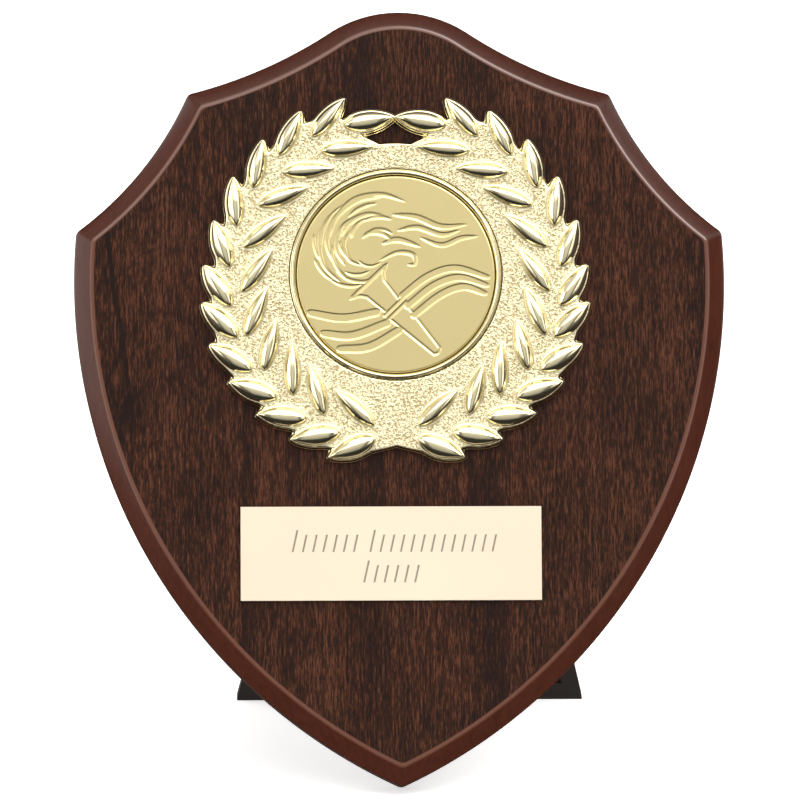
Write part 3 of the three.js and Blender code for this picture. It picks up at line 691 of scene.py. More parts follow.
def ribbon_lines():
    """Three ribbons fly to the left of the collar, and three fan out from it to the right."""
    left = (
        [(-21.9, -10), (-13.6, -11.3), (-4.9, -9.8)],
        [(-18.6, -15.3), (-11.2, -15.8), (-2.3, -12.6)],
        [(-14.4, -19.3), (-6.9, -18.7), (0.7, -14.5)],
    )
    right = (
        [(1.6, -5.6), (8.2, -0.6), (15.3, 1.5), (23.6, -0.8)],
        [(3, -8.2), (9.8, -2.9), (16.4, -0.9), (23.4, -2.9)],
        [(4.6, -10.6), (11.4, -5.4), (17.4, -3.3), (22.9, -5)],
    )
    return [(points, 2.1, 0.8, 0.9) for points in left] + [(points, 1.8, 0.9, 0.55) for points in right]


def smooth_line(points, steps):
    """A smooth line through points, as an array."""
    points = np.array(points, float)
    ends = np.vstack([2 * points[0] - points[1], points, 2 * points[-1] - points[-2]])
    spans = len(points) - 1
    out = []
    for k in range(steps + 1):
        place = min(k / steps * spans, spans - 1e-9)
        i, t = int(place), place - int(place)
        a, b, c, d = ends[i : i + 4]
        bend, twist = 2 * a - 5 * b + 4 * c - d, 3 * b - a - 3 * c + d
        out.append(0.5 * (2 * b + (c - a) * t + bend * t**2 + twist * t**3))
    return np.array(out)


def press_line(depths, places, line, edge):
    """Presses a line into the places under it: 1 on its floor, less on its slopes. All in millimetres."""
    points, width, start, end = line
    path = smooth_line(points, 24)
    reach = width / 2 + edge
    low, high = path.min(0) - reach, path.max(0) + reach
    near = np.flatnonzero(((places > low) & (places < high)).all(1))
    spot = places[near]
    best = np.zeros(len(near))
    for k in range(len(path) - 1):
        a, b = path[k], path[k + 1]
        run = b - a
        t = np.clip(((spot - a) @ run) / max(run @ run, 1e-12), 0, 1)
        distance = np.hypot(*(spot - a - t[:, None] * run).T)
        u = (k + t) / (len(path) - 1)
        swell = np.sin(np.pi * u) ** 0.6
        share = np.where(u < 0.5, start + (1 - start) * swell, end + (1 - end) * swell)
        inside = np.clip((share * width / 2 - distance) / edge + 0.5, 0, 1)
        best = np.maximum(best, inside * inside * (3 - 2 * inside) * np.clip(share * 1.6, 0.35, 1))
    depths[near] = np.maximum(depths[near], best)


def disc_mesh(sizes):
    """A round grid with the lines pressed into it, a wall and a flat back."""
    n = sizes.cells
    side = np.linspace(-1, 1, n + 1)
    u, v = np.meshgrid(side, side)
    wide = np.abs(u) > np.abs(v)
    with np.errstate(divide="ignore", invalid="ignore"):
        turn = np.where(wide, (math.pi / 4) * (v / u), math.pi / 2 - (math.pi / 4) * (u / v))
    turn = np.nan_to_num(turn)
    reach = np.where(wide, u, v)
    places = np.column_stack([(reach * np.cos(turn)).ravel(), (reach * np.sin(turn)).ravel()])
    places_mm = places * sizes.radius / MM
    depths = np.zeros(len(places))
    for line in torch_lines() + flame_lines() + ribbon_lines():
        press_line(depths, places_mm, line, sizes.edge / MM)
    rim = sizes.radius - np.hypot(*(places * sizes.radius).T)
    fall = DISC_FALL * np.clip(1 - rim / DISC_RIM, 0, 1) ** 2
    top = np.column_stack([places * sizes.radius, sizes.thickness - depths * sizes.relief - fall])
    index = np.arange((n + 1) ** 2).reshape(n + 1, n + 1)
    corners = (index[:-1, :-1], index[:-1, 1:], index[1:, 1:], index[1:, :-1])
    faces = np.column_stack([corner.ravel() for corner in corners])
    border = np.concatenate([index[0, :-1], index[:-1, -1], index[-1, :0:-1], index[:0:-1, 0]])
    foot = top[border] * (1, 1, 0)
    start = len(top)
    ring = np.arange(len(border))
    after = np.roll(ring, -1)
    wall = np.column_stack([start + ring, start + after, border[after], border])
    mesh = bpy.data.meshes.new("disc")
    back = tuple((start + ring)[::-1].tolist())
    mesh.from_pydata(np.vstack([top, foot]).tolist(), [], faces.tolist() + wall.tolist() + [back])
    mesh.polygons.foreach_set("use_smooth", [True] * len(mesh.polygons))
    return mesh


# Node graphs: wires are sockets that can be used in Python expressions


class Wire:
    """A socket of a node graph that adds Math nodes when it is used in an expression."""

    def __init__(self, graph, socket):
        self.graph = graph
        self.socket = socket

    def math(self, operation, *values, clamp=False):
        values = {i: value for i, value in enumerate(values)}
        settings = {"operation": operation, "use_clamp": clamp}
        return self.graph.add("ShaderNodeMath", settings, values).out()

    def __add__(self, other):
        return self.math("ADD", self, other)

    __radd__ = __add__

    def __sub__(self, other):
        return self.math("SUBTRACT", self, other)

    def __rsub__(self, other):
        return self.math("SUBTRACT", other, self)

    def __mul__(self, other):
        return self.math("MULTIPLY", self, other)

    __rmul__ = __mul__

    def __truediv__(self, other):
        return self.math("DIVIDE", self, other)

    def __pow__(self, other):
        return self.math("POWER", self, other)

    def __abs__(self):
        return self.math("ABSOLUTE", self)

    def __gt__(self, other):
        return self.math("GREATER_THAN", self, other)

    def at_least(self, low):
        return self.math("MAXIMUM", self, low)

    def clamped(self):
        return self.math("ADD", self, 0.0, clamp=True)

    def between(self, low, high):
        """0 below low, 1 above high and smooth between."""
        inputs = {"Value": self, "From Min": low, "From Max": high}
        return self.graph.add("ShaderNodeMapRange", {"interpolation_type": "SMOOTHSTEP"}, inputs).out()


class Made:
    """A node that was added to a graph."""

    def __init__(self, graph, node):
        self.graph = graph
        self.node = node

    def out(self, key=0):
        return Wire(self.graph, self.node.outputs[key])

    def outs(self, *keys):
        return [self.out(key) for key in keys]


class Graph:
    """Adds nodes to one tree."""

    def __init__(self, tree):
        self.tree = tree
        tree.nodes.clear()

    def add(self, kind, settings=None, inputs=None):
        """A node of a kind, with its settings made first and then its sockets fed."""
        node = self.tree.nodes.new(kind)
        for name, value in (settings or {}).items():
            if name == "stops":
                self.set_stops(node.color_ramp, value)
            else:
                setattr(node, name, value)
        for key, value in (inputs or {}).items():
            self.feed(node.inputs[key], value)
        return Made(self, node)

    def feed(self, socket, value):
        if isinstance(value, Wire):
            self.tree.links.new(value.socket, socket)
        elif hasattr(socket, "default_value"):
            if socket.type == "RGBA" and len(value) == 3:
                value = (*value, 1.0)
            socket.default_value = value

    @staticmethod
    def set_stops(ramp, stops):
        while len(ramp.elements) > 1:
            ramp.elements.remove(ramp.elements[-1])
        for i, (place, colour) in enumerate(stops):
            stop = ramp.elements[0] if i == 0 else ramp.elements.new(place)
            stop.position = place
            stop.color = (*colour, 1.0)


class Finish(Graph):
    """A material's graph with one Principled shader."""

    def __init__(self, name, **shader):
        self.material = bpy.data.materials.new(name)
        self.material.use_nodes = True
        super().__init__(self.material.node_tree)
        inputs = {key.replace("_", " "): value for key, value in shader.items()}
        self.shader = self.add("ShaderNodeBsdfPrincipled", {}, inputs)
        self.add("ShaderNodeOutputMaterial", {}, {"Surface": self.shader.out("BSDF")})

    def set(self, socket, value):
        self.feed(self.shader.node.inputs[socket], value)

    def local(self, matrix):
        """Places on the piece in millimetres of the shield's own frame."""
        inputs = {
            "Vector": self.add("ShaderNodeTexCoord").out("Object"),
            "Location": matrix.to_translation(),
            "Rotation": matrix.to_euler(),
            "Scale": (MM, MM, MM),
        }
        return self.add("ShaderNodeMapping", {"vector_type": "TEXTURE"}, inputs).out()

    def mark(self, name):
        """A number that the mesh carries for each point."""
        return self.add("ShaderNodeAttribute", {"attribute_name": name}).out("Fac")

    def noise(self, place, scale, detail=2.0, roughness=0.5, distortion=0.0):
        inputs = {
            "Vector": place, "Scale": scale, "Detail": detail, "Roughness": roughness,
            "Distortion": distortion,
        }
        return self.add("ShaderNodeTexNoise", {}, inputs).out()

    def grain(self, place, factors, detail=2.0, roughness=0.5):
        """Noise that is drawn out, by a factor for each axis."""
        inputs = {0: place, 1: factors}
        drawn = self.add("ShaderNodeVectorMath", {"operation": "MULTIPLY"}, inputs).out()
        return self.noise(drawn, 1.0, detail, roughness)

    def rings(self, value, scale):
        """Noise that changes with one number."""
        inputs = {"W": value, "Scale": scale, "Detail": 0.0}
        return self.add("ShaderNodeTexNoise", {"noise_dimensions": "1D"}, inputs).out()

    def mix(self, factor, a, b):
        return self.add("ShaderNodeMix", {"data_type": "RGBA"}, {0: factor, 6: a, 7: b}).out(2)

    def done(self, colour, roughness, height, depth, strength):
        """The finished material, with a bump whose depth is in millimetres."""
        self.set("Base Color", colour)
        self.set("Roughness", roughness)
        inputs = {"Height": height, "Distance": depth * MM, "Strength": strength}
        self.set("Normal", self.add("ShaderNodeBump", {}, inputs).out())
        return self.material


def shade(colour, *factors):
    """A colour times one factor, or times one for each channel."""
    return tuple(min(c * f, 1.0) for c, f in zip(colour, factors * (3 // len(factors))))


# Finishes


def wood_foil(board, matrix):
    """Dark wood-grain foil: fine upright fibres and pores, dark bands and, on the left, arching rings."""
    finish = Finish("wood_foil", Specular_IOR_Level=0.1)
    place = finish.local(matrix)
    x, y = finish.add("ShaderNodeSeparateXYZ", {}, {0: place}).outs("X", "Y")
    wander = finish.grain(place, (0.03, 0.011, 0)) - 0.5
    ripple = finish.grain(place, (0.25, 0.03, 0)) - 0.5
    fibre = finish.grain(place, (1.75, 0.15, 0), 3.0, 0.62) - 0.5
    thread = finish.grain(place, (3.6, 0.42, 0), 2.0, 0.6) - 0.5
    streak = finish.grain(place, (0.42, 0.010, 0), 3.0, 0.6) - 0.5
    cloud = finish.grain(place, (0.07, 0.025, 0), 1.0) - 0.5
    tone = 0.5 + fibre * 1.9 + thread * 1.7 + streak * 0.75 + cloud * 0.5
    drift = x + wander * 7
    for middle, half in DARK_BANDS:
        tone = tone - (1 - abs(drift - middle).between(half * 0.6, half * 1.5)) * 0.17
    across, up = drift + 60, (y - 38) * 0.3
    growth = (across * across + up * up) ** 0.5 + ripple * 1.8
    arch = finish.rings(growth, 0.2)
    near = 1 - abs(x + 58).between(18, 36)
    tone = tone - (1 - (abs(arch - 0.5) * 34).clamped()) * near * 0.15
    crack = abs(x + 75.5 - (143 - y) * 0.135 + ripple * 2.2)
    tone = tone - (1 - crack.between(0.3, 1.0)) * y.between(92, 104) * (1 - y.between(140, 146)) * 0.4
    smudge = finish.grain(place, (0.09, 0.045, 0), 1.0).between(0.5, 0.7)
    tone = tone - smudge * (1 - abs(x + 64).between(8, 20)) * (1 - y.between(90, 150)) * 0.25
    stops = [(0.12, board.foil_dark), (0.5, board.foil_mid), (0.88, board.foil_light)]
    colour = finish.add("ShaderNodeValToRGB", {"stops": stops}, {0: tone}).out()
    pores = finish.grain(place, (4.6, 0.6, 0), 1.0).between(0.57, 0.68)
    colour = finish.mix(pores * 0.7, colour, board.foil_dark)
    return finish.done(colour, 0.42 + pores * 0.14, 0.5 - pores, 0.02, 0.4)


def edge_lacquer(board, matrix):
    """Red-brown lacquer over faint streaks, thick and glassy on the arris beside the face, with a painted
    highlight that turns its colour pale there.
    """
    finish = Finish("edge_lacquer", Specular_IOR_Level=0.24, Coat_Roughness=0.08, Coat_IOR=1.9)
    place = finish.local(matrix)
    arris = finish.mark("arris")
    cloud = finish.noise(place, 0.06, 3.0, 0.6)
    streak = finish.grain(place, (0.9, 0.2, 0.9), 3.0, 0.6)
    strength = (cloud * 0.9 + streak * 1.6 - 0.7).clamped()
    colour = finish.mix(strength, shade(board.lacquer, 0.6), board.lacquer)
    # Painted highlight: along the rounding of the inner arris the colour is mixed towards a pale red-brown
    colour = finish.mix(arris * 0.7, colour, shade(board.foil_light, 1.5))
    finish.set("Coat Weight", arris * arris * 0.42 + 0.04)
    return finish.done(colour, 0.2 + cloud * 0.1, finish.noise(place, 0.9), 0.015, 0.3)


def polished_plating(wreath, matrix):
    """Bright pale gold plating with a faint haze and a soft ripple."""
    finish = Finish("polished_plating", Metallic=1.0)
    place = finish.local(matrix)
    haze = finish.noise(place, 0.35, 3.0, 0.6)
    colour = finish.mix(haze, wreath.plating, shade(wreath.plating, 0.93))
    return finish.done(colour, 0.07 + haze * 0.09, finish.noise(place, 0.45, 1.0), 0.10, 0.5)


def stippled_plating(wreath, matrix):
    """The same plating over a stippled ground, which fades out towards the leaves and the edges; painted
    shade darkens its pits and a painted sheen makes the open stipple paler.
    """
    finish = Finish("stippled_plating", Metallic=1.0)
    place = finish.local(matrix)
    coarse = finish.noise(place, 1.7, 1.0, 0.4, 0.5)
    fine = finish.noise(place, 3.2, 1.0)
    relief = (coarse * 0.65 + fine * 0.35).between(0.38, 0.58)
    strong = finish.mark("open_ground").between(0.05, 0.75)
    pit_painted_shade = (1 - relief) * strong
    # Painted sheen: the open stipple is made paler and less yellow than the polished plating
    plain = finish.mix(strong, wreath.plating, shade(wreath.plating, 1.04, 1.07, 1.12))
    # Painted shade: the pits of the stipple are darkened towards brown
    colour = finish.mix(pit_painted_shade * 0.8, plain, shade(wreath.plating, 0.40, 0.30, 0.17))
    return finish.done(colour, 0.12 + strong * 0.34, relief * strong, 0.16, 0.7)


def satin_gold(disc, matrix):
    """Satin gold with a fine matt grain."""
    finish = Finish("satin_gold", Metallic=1.0)
    place = finish.local(matrix)
    fine = finish.noise(place, 7.0, 2.0, 0.6)
    cloud = finish.noise(place, 0.12)
    colour = finish.mix(cloud, disc.gold, shade(disc.gold, 1.06))
    return finish.done(colour, 0.25 + fine * 0.08, fine, 0.01, 0.3)


def plate_metal(fittings, matrix):
    """Cream-gold sheet with a fine brushed grain across it and a slow change of tint."""
    finish = Finish("plate_metal", Metallic=0.25, Specular_IOR_Level=0.4)
    place = finish.local(matrix)
    brushed = finish.grain(place, (0.05, 6.0, 0), 3.0, 0.6)
    change = finish.grain(place, (0.02, 0.03, 0), 1.0).between(0.35, 0.65)
    warm, cool = shade(fittings.plate, 1.03, 0.98, 0.96), shade(fittings.plate, 0.98, 1.02, 1.0)
    colour = finish.mix(brushed * 0.12, finish.mix(change, warm, cool), shade(fittings.plate, 0.9))
    return finish.done(colour, 0.40 + brushed * 0.12, brushed, 0.008, 0.25)


def engraved_metal(fittings, matrix):
    """The darker, rougher floor of an engraved stroke."""
    finish = Finish("engraved_metal", Metallic=0.2)
    grit = finish.noise(finish.local(matrix), 6.0, 2.0, 0.7)
    colour = finish.mix(grit, fittings.stroke, shade(fittings.stroke, 0.7))
    return finish.done(colour, 0.6 + grit * 0.2, grit, 0.03, 0.5)


def moulded_plastic(fittings, matrix):
    """Black moulded plastic with a fine spark-eroded grain."""
    finish = Finish("moulded_plastic", Specular_IOR_Level=0.45)
    place = finish.local(matrix)
    fine = finish.noise(place, 2.6, 2.0, 0.6)
    cloud = finish.noise(place, 0.07)
    colour = finish.mix(cloud, fittings.plastic, shade(fittings.plastic, 1.5))
    return finish.done(colour, 0.42 + fine * 0.12 + cloud * 0.06, fine, 0.03, 0.4)


def zinc_plate(fittings, matrix):
    """Zinc-plated steel with a clouded sheen."""
    finish = Finish("zinc_plate", Metallic=1.0)
    cloud = finish.noise(finish.local(matrix), 0.8, 3.0, 0.6)
    colour = finish.mix(cloud, fittings.zinc, shade(fittings.zinc, 0.75))
    return finish.done(colour, 0.24 + cloud * 0.2, cloud, 0.02, 0.3)


# Geometry Nodes: a leaf or a screw on each point of a mesh


def new_tree(name, sizes):
    """An empty tree, and its inputs: a mesh, the named sizes and a material."""
    graph = Graph(bpy.data.node_groups.new(name, "GeometryNodeTree"))
    sockets = graph.tree.interface
    sockets.new_socket("Geometry", in_out="INPUT", socket_type="NodeSocketGeometry")
    for label, size in sizes.items():
        socket = sockets.new_socket(label, in_out="INPUT", socket_type="NodeSocketFloat")
        socket.default_value = size
    sockets.new_socket("Material", in_out="INPUT", socket_type="NodeSocketMaterial")
    sockets.new_socket("Geometry", in_out="OUTPUT", socket_type="NodeSocketGeometry")
    return graph, graph.add("NodeGroupInput")


def point_places(graph):
    """The x, y and z of the points of a mesh that is being shaped."""
    here = graph.add("GeometryNodeInputPosition").out()
    return graph.add("ShaderNodeSeparateXYZ", {}, {0: here}).outs("X", "Y", "Z")


def reshaped(graph, mesh, x, y, z):
    """A mesh with its points moved."""
    place = graph.add("ShaderNodeCombineXYZ", {}, {"X": x, "Y": y, "Z": z}).out()
    return graph.add("GeometryNodeSetPosition", {}, {"Geometry": mesh, "Position": place}).out()


def put_on_points(graph, given, thing, **placing):
    """Ends a tree: the thing on each point, made real and given its material."""
    inputs = {"Points": given.out("Geometry"), "Instance": thing, **placing}
    placed = graph.add("GeometryNodeInstanceOnPoints", {}, inputs).out()
    real = graph.add("GeometryNodeRealizeInstances", {}, {"Geometry": placed}).out()
    inputs = {"Geometry": real, "Material": given.out("Material")}
    painted = graph.add("GeometryNodeSetMaterial", {}, inputs).out()
    graph.add("NodeGroupOutput", {}, {"Geometry": painted})
    return graph.tree


def leaf_tree():
    """A domed leaf on each point, turned by its heading and as long and broad as the point says."""
    sizes = {
        "Rise": 1.9 * MM, "Root": 0.3 * MM, "Crown": 2.15, "Swell": 0.7,
        "Root Fullness": ROOT_FULLNESS, "Tip Fullness": TIP_FULLNESS,
    }
    graph, given = new_tree("leaves", sizes)
    root, tip = given.outs("Root Fullness", "Tip Fullness")
    shape = {"Segments": 28, "Rings": 20, "Radius": 1.0}
    ball = graph.add("GeometryNodeMeshUVSphere", {}, shape).out("Mesh")
    ball = graph.add("GeometryNodeSetShadeSmooth", {}, {0: ball}).out()
    x, y, z = point_places(graph)
    aside = x / (1 - z * z).at_least(1e-9) ** 0.5
    above = y > 0.0001
    t = z * 0.5 + 0.5
    broadest = root / (root + tip)
    peak = broadest**root * (1 - broadest) ** tip
    spread = t.at_least(0.0) ** root * (1 - t).at_least(0.0) ** tip / peak
    crown = 1 - abs(aside).clamped() ** given.out("Crown")
    lift = crown * spread ** given.out("Swell") * given.out("Rise")
    down = (above - 1) * given.out("Root")
    leaf = reshaped(graph, ball, t - 0.5, aside * spread * 0.5, lift * above + down)
    heading, long, broad = (
        graph.add("GeometryNodeInputNamedAttribute", {"data_type": "FLOAT"}, {"Name": name}).out()
        for name in ("heading", "long", "broad")
    )
    turn = graph.add("ShaderNodeCombineXYZ", {}, {"Z": heading}).out()
    size = graph.add("ShaderNodeCombineXYZ", {}, {"X": long, "Y": broad, "Z": 1.0}).out()
    return put_on_points(graph, given, leaf, Rotation=turn, Scale=size)


def screw_tree():
    """A pan-head screw on each point: a domed head with a cross recess, and a plain shank."""
    sizes = {"Head": 3.2 * MM, "Head Rise": 1.7 * MM, "Shank": 1.5 * MM, "Length": 14 * MM}
    graph, given = new_tree("screws", sizes)
    head, rise, shank, length = given.outs(*sizes)
    shape = {"Vertices": 64, "Side Segments": 10, "Fill Segments": 20, "Radius": 1.0, "Depth": 2.0}
    post = graph.add("GeometryNodeMeshCylinder", {}, shape).out("Mesh")
    x, y, z = point_places(graph)
    girth = (x * x + y * y) ** 0.5
    top, in_head = z > 0.99, z > -0.05
    dome = (1 - (girth * 0.92) ** 4).at_least(0.0) ** 0.5
    middle = 1 - girth.between(0.46, 0.54)
    arm, other = (middle * (1 - abs(way).between(0.10, 0.16)) for way in (x, y))
    recess = arm.at_least(other) * 0.55
    head_height = (dome - recess) * rise
    edge = z.between(0.0, 0.8) * rise * 0.4
    shank_height = (z + 1) * length - length
    height = top * head_height + (1 - top) * (in_head * edge + (1 - in_head) * shank_height)
    reach = in_head * head + (1 - in_head) * shank
    screw = reshaped(graph, post, x * reach, y * reach, height)
    return put_on_points(graph, given, screw)


def grown(name, mesh, tree, values):
    """The plain mesh that a tree makes from a mesh, with the tree's inputs set by their identifiers."""
    piece = new_piece(name, mesh, [])
    modifier = piece.modifiers.new(name, "NODES")
    modifier.node_group = tree
    for item in tree.interface.items_tree:
        if item.in_out == "INPUT" and item.name in values:
            modifier[item.identifier] = values[item.name]
    baked(piece)
    result = piece.data
    result.materials.clear()
    bpy.data.objects.remove(piece)
    return result


# Operators


class SHIELD_OT_board(bpy.types.Operator):
    """Builds the board, foil on its face and lacquer on its edge"""

    bl_idname = "shield.board"
    bl_label = "Board"

    def execute(self, context):
        board = context.scene.shield_board_settings
        matrix = shield_matrix(board)
        mesh = board_mesh(board)
        mesh.transform(matrix)
        piece = new_piece("board", mesh, [wood_foil(board, matrix), edge_lacquer(board, matrix)])
        settle(piece, "board", "shield_board")
        return {"FINISHED"}


class SHIELD_OT_wreath(bpy.types.Operator):
    """Builds the laurel wreath: its ground, the bead round the disc and the leaves"""

    bl_idname = "shield.wreath"
    bl_label = "Laurel wreath"

    def execute(self, context):
        board = context.scene.shield_board_settings
        wreath = context.scene.shield_wreath_settings
        disc = context.scene.shield_disc_settings
        matrix = shield_matrix(board)
        polished, stippled = polished_plating(wreath, matrix), stippled_plating(wreath, matrix)
        places = leaf_places(wreath)
        recess = disc.radius + SEAT_GAP
        ground = ground_mesh(wreath, places, recess + wreath.bead_width)
        values = {"Rise": wreath.leaf_rise, "Material": polished}
        leaves = grown("leaves", points_mesh(places, wreath.ground), leaf_tree(), values)
        mesh = joined([ground, bead_mesh(wreath, recess), leaves])
        mesh.transform(Matrix.Translation((*TRIM_CENTRE, board.thickness + BOND_GAP)))
        mesh.transform(matrix)
        piece = new_piece("wreath", mesh, [polished, stippled])
        settle(piece, "plating", "laurel_wreath")
        return {"FINISHED"}


class SHIELD_OT_disc(bpy.types.Operator):
    """Builds the centre disc with its embossed torch, flames and ribbons"""

    bl_idname = "shield.disc"
    bl_label = "Centre disc"

    def execute(self, context):
        board = context.scene.shield_board_settings
        disc = context.scene.shield_disc_settings
        matrix = shield_matrix(board)
        mesh = disc_mesh(disc)
        level = board.thickness + BOND_GAP + TRIM_FLOOR + SEAT_GAP
        mesh.transform(matrix @ Matrix.Translation((*TRIM_CENTRE, level)))
        piece = new_piece("disc", mesh, [satin_gold(disc, matrix)])
        settle(piece, "disc", "centre_disc")
        return {"FINISHED"}


class SHIELD_OT_plate(bpy.types.Operator):
    """Finishes the engraving plate and the floors of its strokes"""

    bl_idname = "shield.plate"
    bl_label = "Engraving plate"

    def execute(self, context):
        board = context.scene.shield_board_settings
        fittings = context.scene.shield_fitting_settings
        matrix = shield_matrix(board)
        materials = [plate_metal(fittings, matrix), engraved_metal(fittings, matrix)]
        piece = rounded_copy("engraving_plate", fittings.plate_edge, materials, 2)
        inverse = matrix.inverted()
        turned = inverse.to_3x3()
        heights = [(inverse @ face.center).z for face in piece.data.polygons]
        top = max(heights)
        for face, height in zip(piece.data.polygons, heights):
            faces_out = (turned @ face.normal).z > 0.9
            sunk = STROKE_FLOOR[0] < top - height < STROKE_FLOOR[1]
            face.material_index = int(faces_out and sunk)
        settle(piece, "plate", "engraving_plate")
        return {"FINISHED"}


class SHIELD_OT_strut(bpy.types.Operator):
    """Finishes the strut and its bracket"""

    bl_idname = "shield.strut"
    bl_label = "Strut and bracket"

    def execute(self, context):
        board = context.scene.shield_board_settings
        fittings = context.scene.shield_fitting_settings
        plastic = moulded_plastic(fittings, shield_matrix(board))
        for node, slot in (("strut", "strut"), ("strut_bracket", "bracket")):
            piece = rounded_copy(node, fittings.plastic_edge, [plastic])
            settle(piece, slot, node)
        return {"FINISHED"}


class SHIELD_OT_screws(bpy.types.Operator):
    """Finishes the bracket's screws"""

    bl_idname = "shield.screws"
    bl_label = "Bracket screws"

    def execute(self, context):
        board = context.scene.shield_board_settings
        fittings = context.scene.shield_fitting_settings
        matrix = shield_matrix(board)
        zinc = zinc_plate(fittings, matrix)
        nodes = ("bracket_screw_1", "bracket_screw_2")
        seats = []
        for node in nodes:
            spots = [matrix.inverted() @ vertex.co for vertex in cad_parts[node].data.vertices]
            low, high = (Vector(pick(axis) for axis in zip(*spots)) for pick in (min, max))
            seats.append(((low.x + high.x) / 2, -(low.y + high.y) / 2, fittings.screw_seat))
        points = bpy.data.meshes.new("seats")
        points.from_pydata(seats, [], [])
        sizes = {
            "Head": fittings.screw_head, "Head Rise": fittings.screw_rise, "Shank": fittings.screw_shank,
            "Length": fittings.screw_length, "Material": zinc,
        }
        mesh = grown("screws", points, screw_tree(), sizes)
        mesh.transform(matrix @ Matrix.Rotation(math.pi, 4, "X"))
        piece = new_piece("screws", mesh, [zinc])
        settle(piece, "screw", *nodes)
        return {"FINISHED"}


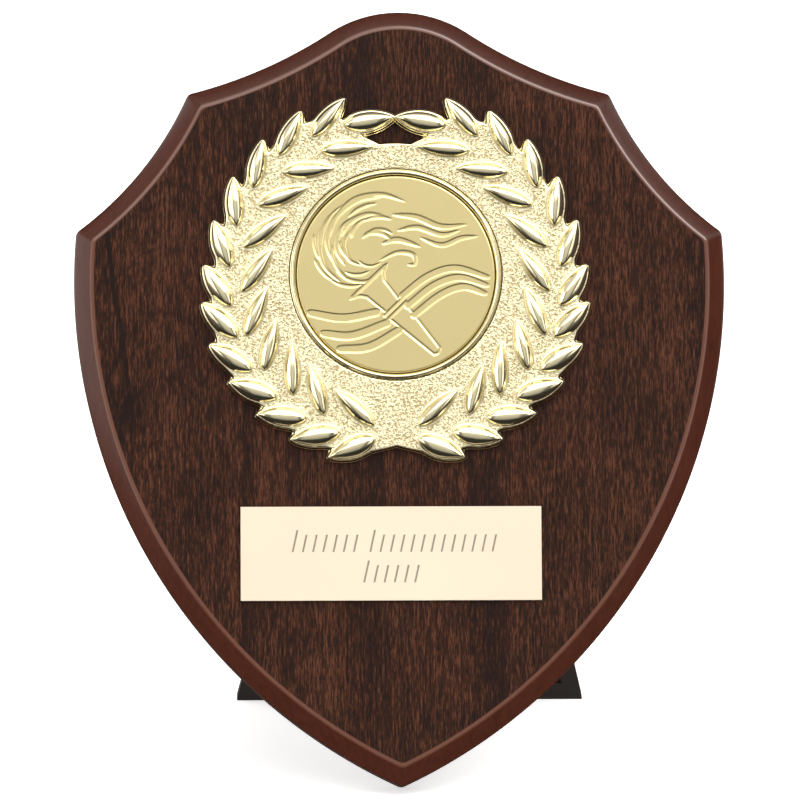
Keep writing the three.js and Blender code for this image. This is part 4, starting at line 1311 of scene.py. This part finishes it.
class SHIELD_OT_studio(bpy.types.Operator):
    """Sets up the floor, the room, the lights and the camera"""

    bl_idname = "shield.studio"
    bl_label = "Studio"

    def execute(self, context):
        scene = context.scene
        studio = scene.shield_studio_settings
        matrix = shield_matrix(scene.shield_board_settings)
        self.add_camera(scene, studio, matrix)
        self.add_floor()
        self.add_room(scene, studio)
        self.add_light(scene, studio)
        scene.view_settings.view_transform = "Standard"
        return {"FINISHED"}

    @staticmethod
    def add_light(scene, studio):
        """A soft light above and in front, aimed at the middle of the shield."""
        data = bpy.data.lights.new("overhead_light", "AREA")
        data.energy = studio.key
        data.shape = "RECTANGLE"
        data.size, data.size_y = 0.9, 0.55
        light = bpy.data.objects.new("overhead_light", data)
        light.location = (-0.15, -0.45, 1.05)
        aim = Vector((0, 0, 0.1)) - light.location
        light.rotation_euler = aim.to_track_quat("-Z", "Y").to_euler()
        light.visible_glossy = False
        scene.collection.objects.link(light)

    @staticmethod
    def add_camera(scene, studio, matrix):
        az, el = studio.azimuth, studio.elevation
        view = Vector((math.sin(az) * math.cos(el), math.cos(az) * math.cos(el), -math.sin(el)))
        right = Vector((math.cos(az), -math.sin(az), 0))
        up = right.cross(view)
        turn_right = right * math.cos(studio.roll) + up * math.sin(studio.roll)
        turn_up = up * math.cos(studio.roll) - right * math.sin(studio.roll)
        data = bpy.data.cameras.new("camera")
        data.sensor_width = 36
        data.lens = studio.lens
        data.shift_x, data.shift_y = -0.000375, -0.003875
        camera = bpy.data.objects.new("camera", data)
        target = matrix @ Vector((0, 0.1, 0.0105))
        place = Matrix((turn_right, turn_up, -view)).transposed().to_4x4()
        place.translation = target - view * studio.distance
        camera.matrix_world = place
        scene.collection.objects.link(camera)
        scene.camera = camera

    @staticmethod
    def add_floor():
        white = Finish("floor_white", Roughness=0.8, Specular_IOR_Level=0.1, Emission_Strength=0.55)
        white.set("Base Color", (0.9, 0.9, 0.9))
        white.set("Emission Color", (1, 1, 1))
        mesh = bpy.data.meshes.new("floor")
        corners = [(x * FLOOR_REACH, y * FLOOR_REACH, 0) for x, y in ((-1, -1), (1, -1), (1, 1), (-1, 1))]
        mesh.from_pydata(corners, [], [(0, 1, 2, 3)])
        floor = new_piece("floor", mesh, [white.material])
        floor.visible_glossy = False

    @staticmethod
    def add_room(scene, studio):
        """Soft lights over the front and at both sides, a bright strip, a dull wall and a dark lower part."""
        world = bpy.data.worlds.new("room")
        world.use_nodes = True
        scene.world = world
        graph = Graph(world.node_tree)
        way = graph.add("ShaderNodeTexCoord").out("Generated")
        x, y, z = graph.add("ShaderNodeSeparateXYZ", {}, {0: way}).outs("X", "Y", "Z")
        aside = abs(x)
        over = z.between(0.49, 0.60) * (1 - y.between(0.02, 0.32) * 0.93)
        over = over * (1 - (0 - x).between(0.36, 0.48) * 0.9) * studio.over
        mirrored = z * STRIP_AIM[0] - y * STRIP_AIM[1]
        strip = mirrored.between(0.60, 0.68) * (1 - mirrored.between(0.84, 0.90)) * z.between(0.5, 0.6)
        strip = strip * (x.between(-0.15, 0.35) * 0.75 + 0.25) * studio.strip
        beside = aside.between(0.56, 0.66) * z.between(-0.35, 0.02) * (1 - z.between(0.45, 0.62))
        beside = beside * (1 - x.between(0, 0.3) * 0.3) * (1 - x.between(0.86, 0.95) * 0.95)
        beside = beside * studio.beside
        gap = aside.between(0.34, 0.48) * (1 - z.between(0.4, 0.55))
        wall = z.between(-0.62, -0.3) * (z.between(-0.5, 0.45) * 0.5 + 0.5) * (1 - gap * 0.7)
        wall = wall * (1 - y.between(0.25, 0.5) * 0.9) * (1 - x.between(0.8, 0.92) * 0.7) * studio.wall
        glow = (wall + studio.dark).at_least(beside).at_least(over).at_least(strip)
        room = graph.add("ShaderNodeBackground", {}, {"Color": (1, 0.985, 0.96), "Strength": glow}).out()
        white = graph.add("ShaderNodeBackground", {}, {"Color": (1, 1, 1), "Strength": 1.0}).out()
        seen = graph.add("ShaderNodeLightPath").out("Is Camera Ray")
        both = graph.add("ShaderNodeMixShader", {}, {0: seen, 1: room, 2: white}).out()
        graph.add("ShaderNodeOutputWorld", {}, {"Surface": both})


OPERATORS = (
    SHIELD_OT_board,
    SHIELD_OT_wreath,
    SHIELD_OT_disc,
    SHIELD_OT_plate,
    SHIELD_OT_strut,
    SHIELD_OT_screws,
    SHIELD_OT_studio,
)


class SHIELD_PT_panel(bpy.types.Panel):
    """Lists the shield's settings and builders"""

    bl_idname = "SHIELD_PT_panel"
    bl_label = "Award Shield"
    bl_space_type = "VIEW_3D"
    bl_region_type = "UI"
    bl_category = "Award Shield"

    def draw(self, context):
        for name, group in GROUPS.items():
            box = self.layout.box()
            box.label(text=group.__doc__)
            for prop in group.__annotations__:
                box.prop(getattr(context.scene, name), prop)
        for operator in OPERATORS:
            self.layout.operator(operator.bl_idname)


def register():
    for cls in (*GROUPS.values(), *OPERATORS, SHIELD_PT_panel):
        bpy.utils.register_class(cls)
    for name, group in GROUPS.items():
        setattr(bpy.types.Scene, name, PointerProperty(type=group))


def unregister():
    for name in GROUPS:
        delattr(bpy.types.Scene, name)
    for cls in (SHIELD_PT_panel, *reversed(OPERATORS), *reversed(GROUPS.values())):
        bpy.utils.unregister_class(cls)


def main():
    """Registers the classes and builds every piece."""
    register()
    bpy.ops.shield.board()
    bpy.ops.shield.wreath()
    bpy.ops.shield.disc()
    bpy.ops.shield.plate()
    bpy.ops.shield.strut()
    bpy.ops.shield.screws()
    bpy.ops.shield.studio()


if __name__ == "__main__":
    main()
